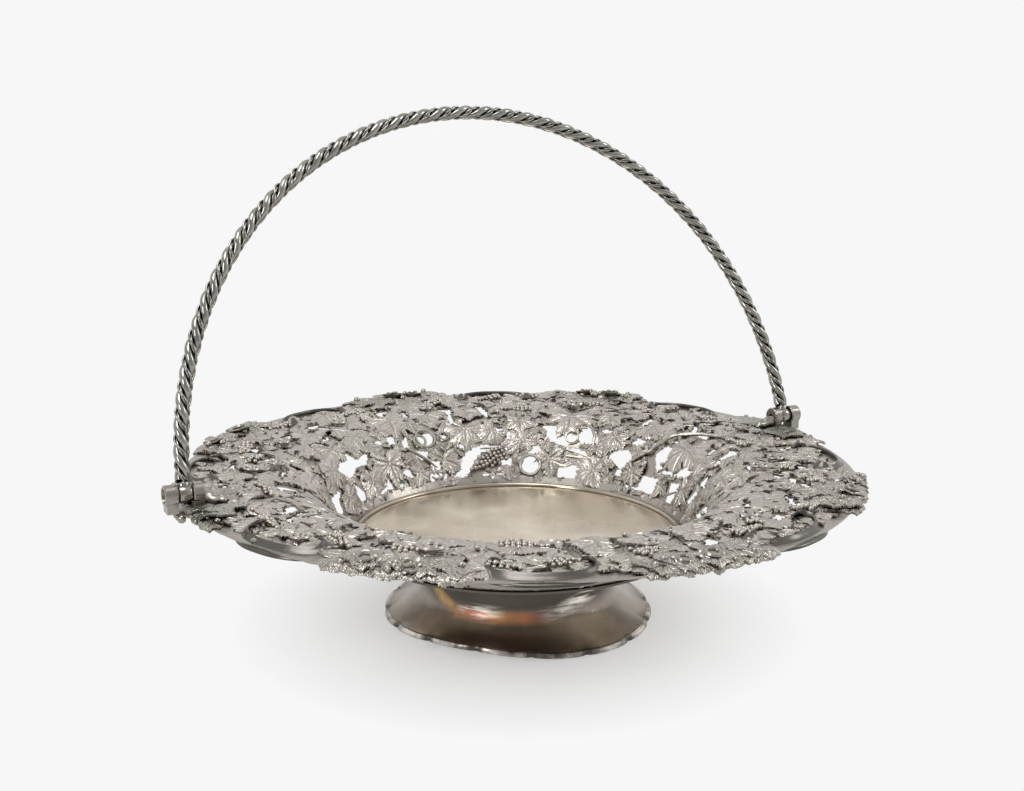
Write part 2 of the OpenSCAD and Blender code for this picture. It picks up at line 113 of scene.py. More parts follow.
# Steps round the well and neck, the well's wire, the lobed foot, and the hinge's tubes and stubs
ROUND_STEPS = 128
WIRE_STEPS = 160
FOOT_STEPS = 192
TUBE_STEPS = 40
STUB_STEPS = 32

# Points closer than this are merged, and the ends of a closed ring within a wider reach
MERGE = 0.0005
RING_MERGE = 0.01

chance = random.Random(11)


def section(run):
    """Radius, height and slope of the border's middle line at a distance up from the flange."""
    if run < WALL_RUN:
        return WALL_R + run * math.cos(WALL), WALL_Z + run * math.sin(WALL), WALL
    if run < BRIM_RUN:
        slope = WALL - (run - WALL_RUN) / SHOULDER_R
        return ARC_R - SHOULDER_R * math.sin(slope), ARC_Z + SHOULDER_R * math.cos(slope), slope
    over = min(run, LIP_RUN) - BRIM_RUN
    past = max(run - LIP_RUN, 0.0) / LIP_BEND
    slope = BRIM - past
    r = BRIM_R + over * math.cos(BRIM) + LIP_BEND * (math.sin(BRIM) - math.sin(slope))
    z = ARC_Z + SHOULDER_R * math.cos(BRIM) + over * math.sin(BRIM)
    return r, z + LIP_BEND * (math.cos(slope) - math.cos(BRIM)), slope


def on_border(angle, run, side, lift):
    """The point at an angle and a run up the border, moved to the right and off the surface."""
    r, z, slope = section(run)
    turn = math.radians(angle) - side / r
    r -= lift * math.sin(slope)
    return Vector((r * math.cos(turn), r * math.sin(turn), z + lift * math.cos(slope)))


def off_border(angle, run, side, lift):
    """The direction that stands off the border at a place."""
    return on_border(angle, run, side, lift + 1) - on_border(angle, run, side, lift)


def turned(turn, tilt):
    """A tilt about X and then a turn about Z, in degrees."""
    return Matrix.Rotation(math.radians(turn), 4, "Z") @ Matrix.Rotation(math.radians(tilt), 4, "X")


def lay_on_border(verts, angle, run, lift, tilt):
    """Lays a flat-made shape on the border: its Y runs up the border and its Z stands off it."""
    tilted = turned(0, tilt)
    for vert in verts:
        x, y, z = tilted @ vert.co
        vert.co = on_border(angle, run + y, x, lift + z)


def smoothstep(low, high, value):
    """A share that goes from 0 at low to 1 at high and is eased at both ends."""
    share = min(max((value - low) / (high - low), 0.0), 1.0)
    return share * share * (3 - 2 * share)


# Mesh tools

def add_mesh(bm, mesh):
    """Adds a copy of a mesh and returns its vertices."""
    before = len(bm.verts)
    bm.from_mesh(mesh)
    bm.verts.ensure_lookup_table()
    return bm.verts[before:]


def as_mesh(name, bm):
    """Turns a bmesh into a mesh and frees it."""
    mesh = bpy.data.meshes.new(name)
    bm.to_mesh(mesh)
    bm.free()
    return mesh


def keep_mesh(name, bm):
    """Turns a bmesh into a mesh that can be added many times."""
    bmesh.ops.recalc_face_normals(bm, faces=bm.faces)
    return as_mesh(name, bm)


def add_bmesh(bm, other):
    """Adds another bmesh, which is used up, and returns its vertices."""
    mesh = keep_mesh("shape", other)
    verts = add_mesh(bm, mesh)
    bpy.data.meshes.remove(mesh)
    return verts


def spun(profile, steps, angle=360.0, start=0.0):
    """A skin spun round Z from a profile of (radius, height) points."""
    bm = bmesh.new()
    verts = [bm.verts.new((r, 0, z)) for r, z in profile]
    edges = [bm.edges.new(pair) for pair in zip(verts, verts[1:])]
    bmesh.ops.rotate(bm, verts=verts, matrix=Matrix.Rotation(math.radians(start), 3, "Z"))
    bmesh.ops.spin(bm, geom=verts + edges, axis=(0, 0, 1), cent=(0, 0, 0), steps=steps,
                   angle=math.radians(angle), use_merge=angle == 360.0)
    bmesh.ops.remove_doubles(bm, verts=bm.verts, dist=MERGE)
    return bm


def sweep(outline, stations, closed=False):
    """A skin that carries an outline in XY through stations, which are matrices."""
    bm = bmesh.new()
    ring = bmesh.ops.create_circle(bm, cap_ends=not closed, segments=len(outline), radius=1)["verts"]
    for vert, (x, y) in zip(ring, outline):
        vert.co = stations[0] @ Vector((x, y, 0))
    edges = list(bm.edges)
    for before, after in zip(stations, stations[1:]):
        made = bmesh.ops.extrude_edge_only(bm, edges=edges)["geom"]
        ring = [part for part in made if isinstance(part, bmesh.types.BMVert)]
        edges = [part for part in made if isinstance(part, bmesh.types.BMEdge) and part.is_boundary]
        bmesh.ops.transform(bm, matrix=after @ before.inverted(), verts=ring)
    if closed:
        bmesh.ops.remove_doubles(bm, verts=bm.verts, dist=RING_MERGE)
    else:
        bmesh.ops.edgeloop_fill(bm, edges=edges)
    return bm


def station(point, along, up, wide=1.0, high=1.0):
    """A matrix whose Z goes along a path and whose Y stays near up."""
    along = along.normalized()
    side = up.cross(along).normalized()
    rise = along.cross(side)
    columns = (side * wide, rise * high, along, point)
    matrix = Matrix.Identity(4)
    for index, column in enumerate(columns):
        matrix.col[index][:3] = column
    return matrix


def circle_points(sides, radius=1.0):
    """Points round a circle in XY."""
    return [(radius * math.cos(2 * math.pi * i / sides), radius * math.sin(2 * math.pi * i / sides))
            for i in range(sides)]


def path_stations(points, ups, radii):
    """Stations along points, each with its own up and radius."""
    last = len(points) - 1
    made = []
    for i, point in enumerate(points):
        along = points[min(i + 1, last)] - points[max(i - 1, 0)]
        made.append(station(point, along, ups[i], radii[i], radii[i]))
    return made


def wire(points, ups, radii, sides=6, closed=False):
    """A round wire along points, with an up and a radius at each."""
    stations = path_stations(points, ups, radii)
    if closed:
        stations.append(stations[0])
    return sweep(circle_points(sides), stations, closed)


def put_in_scene(name, data):
    """A new object in the scene, at the origin."""
    thing = bpy.data.objects.new(name, data)
    bpy.context.scene.collection.objects.link(thing)
    return thing


def make_piece(name, bm, material, body="basket", sharp=40):
    """Finishes a bmesh in millimetres as a piece that stands for the node of its name."""
    bmesh.ops.remove_doubles(bm, verts=bm.verts, dist=MERGE)
    bmesh.ops.recalc_face_normals(bm, faces=bm.faces)
    bmesh.ops.scale(bm, vec=(MM, MM, MM), verts=bm.verts)
    mesh = as_mesh(name, bm)
    mesh.shade_smooth()
    mesh.set_sharp_from_angle(angle=math.radians(sharp))
    mesh.materials.append(material)
    piece = put_in_scene(name, mesh)
    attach(piece, body)
    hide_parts(name)


# Material tools

class Value:
    """An output socket; arithmetic on it adds Math nodes to its material."""

    def __init__(self, finish, socket):
        self.finish = finish
        self.socket = socket

    def __add__(self, other):
        return self.finish.math("ADD", self, other)

    def __radd__(self, other):
        return self.finish.math("ADD", other, self)

    def __sub__(self, other):
        return self.finish.math("SUBTRACT", self, other)

    def __rsub__(self, other):
        return self.finish.math("SUBTRACT", other, self)

    def __mul__(self, other):
        return self.finish.math("MULTIPLY", self, other)

    def __rmul__(self, other):
        return self.finish.math("MULTIPLY", other, self)

    def __abs__(self):
        return self.finish.math("ABSOLUTE", self)

    def clamped(self):
        return self.finish.math("ADD", self, 0.0, clamp=True)


class Finish:
    """The nodes of a material or of the world, and the one way in which they are made."""

    def __init__(self, owner):
        self.owner = owner
        owner.use_nodes = True
        self.tree = owner.node_tree
        self.tree.nodes.clear()

    def node(self, kind, settings=None, inputs=None, output=0):
        node = self.tree.nodes.new(kind)
        for key, value in (settings or {}).items():
            if key == "stops":
                self.set_stops(node.color_ramp, value)
            else:
                setattr(node, key, value)
        for key, value in (inputs or {}).items():
            if isinstance(value, Value):
                self.tree.links.new(value.socket, node.inputs[key])
            else:
                node.inputs[key].default_value = value
        return Value(self, node.outputs[output]) if node.outputs else None

    @staticmethod
    def set_stops(ramp, stops):
        while len(ramp.elements) < len(stops):
            ramp.elements.new(1.0)
        for element, (place, color) in zip(ramp.elements, stops):
            element.position = place
            element.color = color

    def math(self, operation, *values, clamp=False):
        settings = {"operation": operation, "use_clamp": clamp}
        return self.node("ShaderNodeMath", settings, dict(enumerate(values)))

    def vector(self, operation, *values, output=0):
        settings = {"operation": operation}
        return self.node("ShaderNodeVectorMath", settings, dict(enumerate(values)), output)

    def place(self):
        return self.node("ShaderNodeTexCoord", output="Object")

    def axes(self, place, letters):
        return [self.node("ShaderNodeSeparateXYZ", None, {0: place}, letter) for letter in letters]

    def noise(self, place, scale, detail, rough=0.5):
        inputs = {"Vector": place, "Scale": scale, "Detail": detail, "Roughness": rough}
        return self.node("ShaderNodeTexNoise", None, inputs)

    def ramp(self, value, low, high):
        """A value spread from low to high over 0 to 1, held at the ends."""
        return self.node("ShaderNodeMapRange", {"clamp": True},
                         {"Value": value, "From Min": low, "From Max": high})

    def window(self, value, start, full, fall, end):
        """A share that rises from start to full and drops again from fall to end."""
        return self.ramp(value, start, full) * self.ramp(value, end, fall)

    def mix(self, share, first, second):
        return self.node("ShaderNodeMix", {"data_type": "RGBA"}, {0: share, 6: first, 7: second}, 2)

    def bump(self, height, strength, distance):
        return self.node("ShaderNodeBump", None,
                         {"Height": height, "Strength": strength, "Distance": distance})

    def metal(self, color, roughness, normal=None):
        """Ends a material as bare metal."""
        inputs = {"Base Color": color, "Metallic": 1.0, "Roughness": roughness}
        if normal:
            inputs["Normal"] = normal
        return self.output(self.node("ShaderNodeBsdfPrincipled", None, inputs))

    def output(self, shader, kind="ShaderNodeOutputMaterial"):
        self.node(kind, None, {"Surface": shader})
        return self.owner


def rgb(red, green, blue):
    return (red, green, blue, 1.0)


# Painted shade on the plate behind the well's wire, under the border; the foot's plate, painted shade at
# the top of its neck, shaded line, worn streaks lightened as a painted highlight, and rainbow; its lip,
# dark, with a painted highlight along each lobe
FLANGE_SHADE = rgb(0.12, 0.105, 0.088)
FOOT_LOW = rgb(0.20, 0.172, 0.141)
FOOT_HIGH = rgb(0.335, 0.294, 0.252)
NECK_SHADE = rgb(0.06, 0.052, 0.042)
SHADE_DARK = rgb(0.06, 0.05, 0.04)
WORN_HIGHLIGHT = rgb(0.92, 0.87, 0.78)
RAINBOW = [
    (0.0, rgb(0.34, 0.32, 0.13)), (0.15, rgb(0.60, 0.33, 0.12)), (0.28, rgb(0.60, 0.22, 0.16)),
    (0.36, rgb(0.62, 0.30, 0.11)), (0.46, rgb(0.62, 0.26, 0.12)), (0.56, rgb(0.42, 0.12, 0.15)),
]
RAINBOW_TURN = 140
LIP_DARK = rgb(0.10, 0.088, 0.072)
LIP_HIGHLIGHT = rgb(0.66, 0.62, 0.555)

# Flat places of the bare sheet, far to the left of any leaf's, and of the band, which is partly bare
SHEET_PLACE = (-10, 0)
BAND_PLACE = (-5.6, 0)
BARE_FROM = -5.0
BARE_FULL = -6.0

# A leaf's lobes are this many degrees apart in its flat places, where its length is about 1
VEIN_STEP = 60
VEIN_FADE = (0.05, 0.015)
TWIGS = 5.5
TWIG_SLOPE = 0.8
TWIG_FADE = (0.17, 0.05)

# Patterns of chased silver, in repeats to a metre, and the height of its relief in metres
CLOUD_SCALE = 26.0
TINT_SCALE = 70.0
WRINKLE_SCALE = 240.0
SPECK_SCALE = 1300.0
RELIEF_H = 0.0006

# The height of a plate's dents, in metres
DENT_H = 0.002


def leaf_lines(finish):
    """From a leaf's flat places: its veins, streaks that fan out from its stalk, and the bare sheet."""
    flat = finish.node("ShaderNodeUVMap", {"uv_map": "leaf"})
    x, y = finish.axes(flat, "XY")
    reach = finish.vector("LENGTH", flat, output="Value")
    around = finish.math("ARCTAN2", x, y)
    turn = finish.math("PINGPONG", around, math.radians(VEIN_STEP / 2))
    aside = reach * finish.math("SINE", turn)
    along = reach * finish.math("COSINE", turn)
    main = finish.ramp(aside, *VEIN_FADE)
    twig = finish.math("PINGPONG", TWIGS * (along - TWIG_SLOPE * aside), 0.5)
    twigs = finish.ramp(twig, *TWIG_FADE)
    leaf = finish.ramp(reach, 0.04, 0.08) * finish.ramp(reach, 5.0, 4.0)
    fan = finish.node("ShaderNodeCombineXYZ", None, {"X": 5.0 * around, "Y": 2.0 * reach})
    streaks = leaf * finish.ramp(finish.noise(fan, 1.0, 1.5), 0.35, 0.65)
    veins = leaf * finish.math("MAXIMUM", main, 0.6 * twigs)
    return veins, streaks, finish.ramp(x, BARE_FROM, BARE_FULL)


def chased_silver(name, warm, cool, low, rough, recess=0.0035, grain=1.0):
    """Cast and chased silver: clear on its ridges, toned dark in its hollows, in two soft tints."""
    finish = Finish(bpy.data.materials.new(name))
    place = finish.place()
    open_sky = finish.node("ShaderNodeAmbientOcclusion", {"samples": 8}, {"Distance": recess}, "AO")
    veins, streaks, sheet = leaf_lines(finish)
    cloud = finish.noise(place, CLOUD_SCALE, 4.0, 0.6)
    tint = finish.noise(place, TINT_SCALE, 2.0)
    wrinkle = finish.noise(place, WRINKLE_SCALE, 1.5)
    speck = finish.noise(place, SPECK_SCALE, 2.0)
    marks = (1 - 0.35 * veins) * (0.78 + 0.34 * streaks)
    worn = finish.ramp(open_sky, 0.0, 0.85) * (0.62 + 0.6 * cloud) * marks * (1 - 0.3 * sheet)
    color = finish.mix(worn.clamped(), low, finish.mix(finish.ramp(tint, 0.42, 0.62), warm, cool))
    roughness = rough + grain * 0.1 * finish.ramp(speck, 0.35, 0.75) - 0.06 * worn
    relief = grain * ((0.03 + 0.3 * sheet) * speck + 0.7 * wrinkle + 0.35 * streaks - 0.6 * veins)
    return finish.metal(color, roughness, finish.bump(relief, 0.7, RELIEF_H))


def polished_silver(name, high, low, rough, cloud_scale=14.0, dent=0.25, wave_scale=22.0,
                    unshaded_r=1.0):
    """Plain plate: softly dented, with a clouded tone, and painted dark past a radius in metres, as
    painted shade where it lies under the border.
    """
    finish = Finish(bpy.data.materials.new(name))
    place = finish.place()
    cloud = finish.noise(place, cloud_scale, 4.0, 0.6)
    wave = finish.noise(place, wave_scale, 1.0)
    tone = finish.ramp(cloud, 0.38, 0.66)
    level = finish.vector("MULTIPLY", place, (1.0, 1.0, 0.0))
    reach = finish.vector("LENGTH", level, output="Value")
    flange_shade_share = finish.ramp(reach, unshaded_r, unshaded_r + MM)
    # Past that radius the colour turns to painted shade, for the flange in the shade under the border
    color = finish.mix(flange_shade_share, finish.mix(tone, low, high), FLANGE_SHADE)
    roughness = rough + 0.08 * (1 - tone)
    return finish.metal(color, roughness, finish.bump(wave, dent, DENT_H))


def tarnished_silver(name):
    """The foot's plate: dark and clouded, with a rainbow tarnish, painted shade at the top of its neck
    and along a shaded line, and worn streaks at its crease lightened as a painted highlight. Turns are
    degrees round from the foot's left, and heights are millimetres."""
    finish = Finish(bpy.data.materials.new(name))
    place = finish.place()
    x, y, z = finish.axes(place, "XYZ")
    turn = math.degrees(1) * finish.math("ARCTAN2", 0.0 - y, 0.0 - x)
    height = (1 / MM) * z
    cloud = finish.noise(place, 30.0, 5.0, 0.65)
    streak = finish.noise(finish.vector("MULTIPLY", place, (1.0, 1.0, 9.0)), 60.0, 4.0, 0.6)
    plate = finish.mix(finish.ramp(cloud, 0.36, 0.68), FOOT_LOW, FOOT_HIGH)
    # Darker towards the top of the neck: painted shade under the well
    plate = finish.mix(0.85 * finish.ramp(height, 13.0, 18.0), plate, NECK_SHADE)
    rainbow_line = 13.2 + 0.33 * finish.math("MAXIMUM", 25.0 - turn, 0.0)
    rainbow_part = finish.window(turn, -10.0, 6.0, 70.0, 84.0) * finish.ramp(cloud, 0.28, 0.5)
    rainbow = finish.ramp(abs(height - rainbow_line), 3.6, 0.6) * rainbow_part
    hues = finish.node("ShaderNodeValToRGB", {"stops": RAINBOW}, {"Fac": turn * (1 / RAINBOW_TURN)})
    # The worn streaks at the crease are lightened to near white: wear with a painted highlight
    worn_highlight_line = 14.6 + 0.2 * finish.math("MAXIMUM", turn - 83.0, 0.0)
    worn_highlight_part = finish.ramp(turn, 72.0, 90.0) + finish.window(turn, 24.0, 34.0, 44.0, 56.0)
    worn = finish.ramp(abs(height - worn_highlight_line), 4.2, 0.6) * finish.ramp(streak, 0.44, 0.58)
    worn = worn * worn_highlight_part.clamped()
    shade_line = 10.2
    shade = finish.ramp(abs(height - shade_line), 2.4, 0.6) * finish.window(turn, 42.0, 52.0, 72.0, 82.0)
    color = finish.mix(rainbow, plate, hues)
    color = finish.mix(0.5 * shade, color, SHADE_DARK)
    color = finish.mix(worn, color, WORN_HIGHLIGHT)
    roughness = 0.26 + 0.12 * finish.ramp(cloud, 0.7, 0.3) + 0.12 * worn
    dents = finish.noise(place, 26.0, 2.0)
    return finish.metal(color, roughness, finish.bump(dents, 0.3, DENT_H))


def lip_silver(name):
    """The foot's lip: a painted highlight along each lobe, and painted shade where two lobes meet."""
    finish = Finish(bpy.data.materials.new(name))
    place = finish.place()
    x, y = finish.axes(place, "XY")
    turn = finish.math("PINGPONG", finish.math("ARCTAN2", y, x), math.pi / FOOT_LOBES)
    cloud = finish.noise(place, 70.0, 4.0, 0.6)
    # A painted highlight along each lobe, which fades to the dark lip colour as painted shade in the
    # notches where two lobes meet
    lip_highlight = finish.ramp(turn, 0.03, 0.07) * finish.ramp(cloud, 0.38, 0.6)
    color = finish.mix(lip_highlight, LIP_DARK, LIP_HIGHLIGHT)
    return finish.metal(color, 0.3 - 0.08 * lip_highlight)


vine_silver = chased_silver(
    "vine_silver", warm=rgb(0.56, 0.513, 0.475), cool=rgb(0.53, 0.51, 0.447),
    low=rgb(0.20, 0.18, 0.153), rough=0.32)
cluster_silver = chased_silver(
    "cluster_silver", warm=rgb(0.47, 0.435, 0.395), cool=rgb(0.44, 0.425, 0.365),
    low=rgb(0.11, 0.10, 0.08), rough=0.3)
# The scrolls' silver is far darker than the rest: painted shade, standing for the dark room that their
# polished faces reflect
scroll_silver = chased_silver(
    "scroll_silver", warm=rgb(0.17, 0.159, 0.145), cool=rgb(0.14, 0.133, 0.12),
    low=rgb(0.05, 0.045, 0.04), rough=0.28, recess=0.003, grain=0.3)
hinge_silver = chased_silver(
    "hinge_silver", warm=rgb(0.42, 0.39, 0.35), cool=rgb(0.38, 0.37, 0.32),
    low=rgb(0.06, 0.055, 0.045), rough=0.26, grain=0.5)
pin_silver = polished_silver(
    "pin_silver", high=rgb(0.16, 0.145, 0.13), low=rgb(0.07, 0.062, 0.055), rough=0.35)
knuckle_silver = chased_silver(
    "knuckle_silver", warm=rgb(0.42, 0.39, 0.36), cool=rgb(0.38, 0.36, 0.33),
    low=rgb(0.05, 0.046, 0.04), rough=0.2, grain=0.2)
rope_silver = chased_silver(
    "rope_silver", warm=rgb(0.44, 0.43, 0.40), cool=rgb(0.37, 0.36, 0.335),
    low=rgb(0.05, 0.047, 0.042), rough=0.17, recess=0.002, grain=0.15)
well_silver = polished_silver(
    "well_silver", high=rgb(0.90, 0.825, 0.71), low=rgb(0.70, 0.615, 0.49), rough=0.22,
    cloud_scale=24.0, dent=0.8, wave_scale=24.0, unshaded_r=0.078)
wire_silver = chased_silver(
    "wire_silver", warm=rgb(0.62, 0.55, 0.44), cool=rgb(0.50, 0.44, 0.35),
    low=rgb(0.05, 0.042, 0.03), rough=0.2, recess=0.003, grain=0.2)
foot_silver = tarnished_silver("foot_silver")
foot_lip_silver = lip_silver("foot_lip_silver")


# Vine leaves, made flat with the tip along Y and a length of 1, and laid on the border

LEAF_T = 0.9
LEAF_RINGS = (0.0, 0.3, 0.58, 0.8, 0.93, 1.0)
LEAF_TEETH = (0.01, 0.08)
SPRIG_RINGS = (0.0, 0.6, 1.0)
SPRIG_STEPS = 28

# A leaf is squashed past the border's edge, and below a run just over the well's wire
LEAF_LOW = 1.2
EDGE_SQUASH = 0.45
LOW_SQUASH = 0.85


def mark_flat(bm, place):
    """Keeps each corner's own flat place, from which the material draws veins."""
    layer = bm.loops.layers.uv.new("leaf")
    for face in bm.faces:
        for corner in face.loops:
            corner[layer].uv = place(corner.vert.co)


def leaf_mesh(name, lobe_step, lobes, waist, puff, cup, wave, steps=72, rings=LEAF_RINGS):
    """A toothed vine leaf; each lobe is its length and its spread, from the tip back to the stalk."""
    bm = bmesh.new()
    spokes = [bm.verts.new((0, ring, 0)) for ring in rings]
    edges = [bm.edges.new(pair) for pair in zip(spokes, spokes[1:])]
    bmesh.ops.spin(bm, geom=spokes + edges, axis=(0, 0, 1), cent=(0, 0, 0), steps=steps,
                   angle=2 * math.pi, use_merge=True)
    bmesh.ops.remove_doubles(bm, verts=bm.verts, dist=MERGE)
    teeth = [chance.uniform(*LEAF_TEETH) * (1 if step % 2 else -1) for step in range(steps)]
    for vert in bm.verts:
        ring = math.hypot(vert.co.x, vert.co.y)
        angle = math.degrees(math.atan2(vert.co.x, vert.co.y))
        reach, vein = waist, 1.0
        for index, (length, spread) in enumerate(lobes):
            off = abs(abs(angle) - index * lobe_step) / spread
            reach = max(reach, length - (length - waist) * off ** 0.9)
            vein = min(vein, off)
        tooth = teeth[round(angle * steps / 360) % steps] * smoothstep(0.86, 1.0, ring)
        stalk = 1 - 0.45 * smoothstep(150, 180, abs(angle))
        far = ring * (reach * stalk + tooth)
        rise = puff * math.sin(math.pi * min(vein, 1.0)) * ring * (1.2 - ring)
        rise -= cup * ring ** 2.2
        rise += wave * math.sin(math.radians(angle) * 3 + 1.0) * ring ** 2
        vert.co = (far * math.sin(math.radians(angle)), far * math.cos(math.radians(angle)), rise)

    def lobe_place(co):
        turn = math.atan2(co.x, co.y) * VEIN_STEP / lobe_step
        far = math.hypot(co.x, co.y)
        return far * math.sin(turn), far * math.cos(turn)

    mark_flat(bm, lobe_place)
    return keep_mesh(name, bm)


# Each leaf is the step between its lobes, the lobes, and its waist, puff, cup and wave; sprigs come last
LEAVES = [
    leaf_mesh("leaf_five", 60, [(1, 42), (0.98, 36), (0.84, 36)], 0.62, 0.12, 0.07, 0.04),
    leaf_mesh("leaf_broad", 54, [(1, 46), (1.0, 40), (0.92, 40)], 0.72, 0.10, 0.08, 0.05),
    leaf_mesh("leaf_deep", 66, [(1.06, 36), (0.95, 32), (0.78, 34)], 0.52, 0.14, 0.06, 0.06),
    leaf_mesh("leaf_three", 72, [(1.06, 52), (0.9, 46)], 0.58, 0.12, 0.07, 0.05),
    leaf_mesh("sprig_five", 60, [(1, 42), (0.95, 36), (0.8, 36)], 0.5, 0.2, 0.1, 0.1,
              SPRIG_STEPS, SPRIG_RINGS),
    leaf_mesh("sprig_three", 72, [(1.1, 48), (0.85, 44)], 0.45, 0.2, 0.1, 0.1,
              SPRIG_STEPS, SPRIG_RINGS),
    leaf_mesh("sprig_long", 80, [(1.3, 40), (0.7, 40)], 0.35, 0.2, 0.15, 0.1,
              SPRIG_STEPS, SPRIG_RINGS),
]
LEAF_KINDS = 4


def berry_mesh():
    """A round berry of radius 1."""
    bm = bmesh.new()
    bmesh.ops.create_uvsphere(bm, u_segments=8, v_segments=6, radius=1.0)
    return keep_mesh("berry", bm)


BERRY = berry_mesh()

# Open gaps of half the border, each an outline of (angle, run) points; the other half repeats them

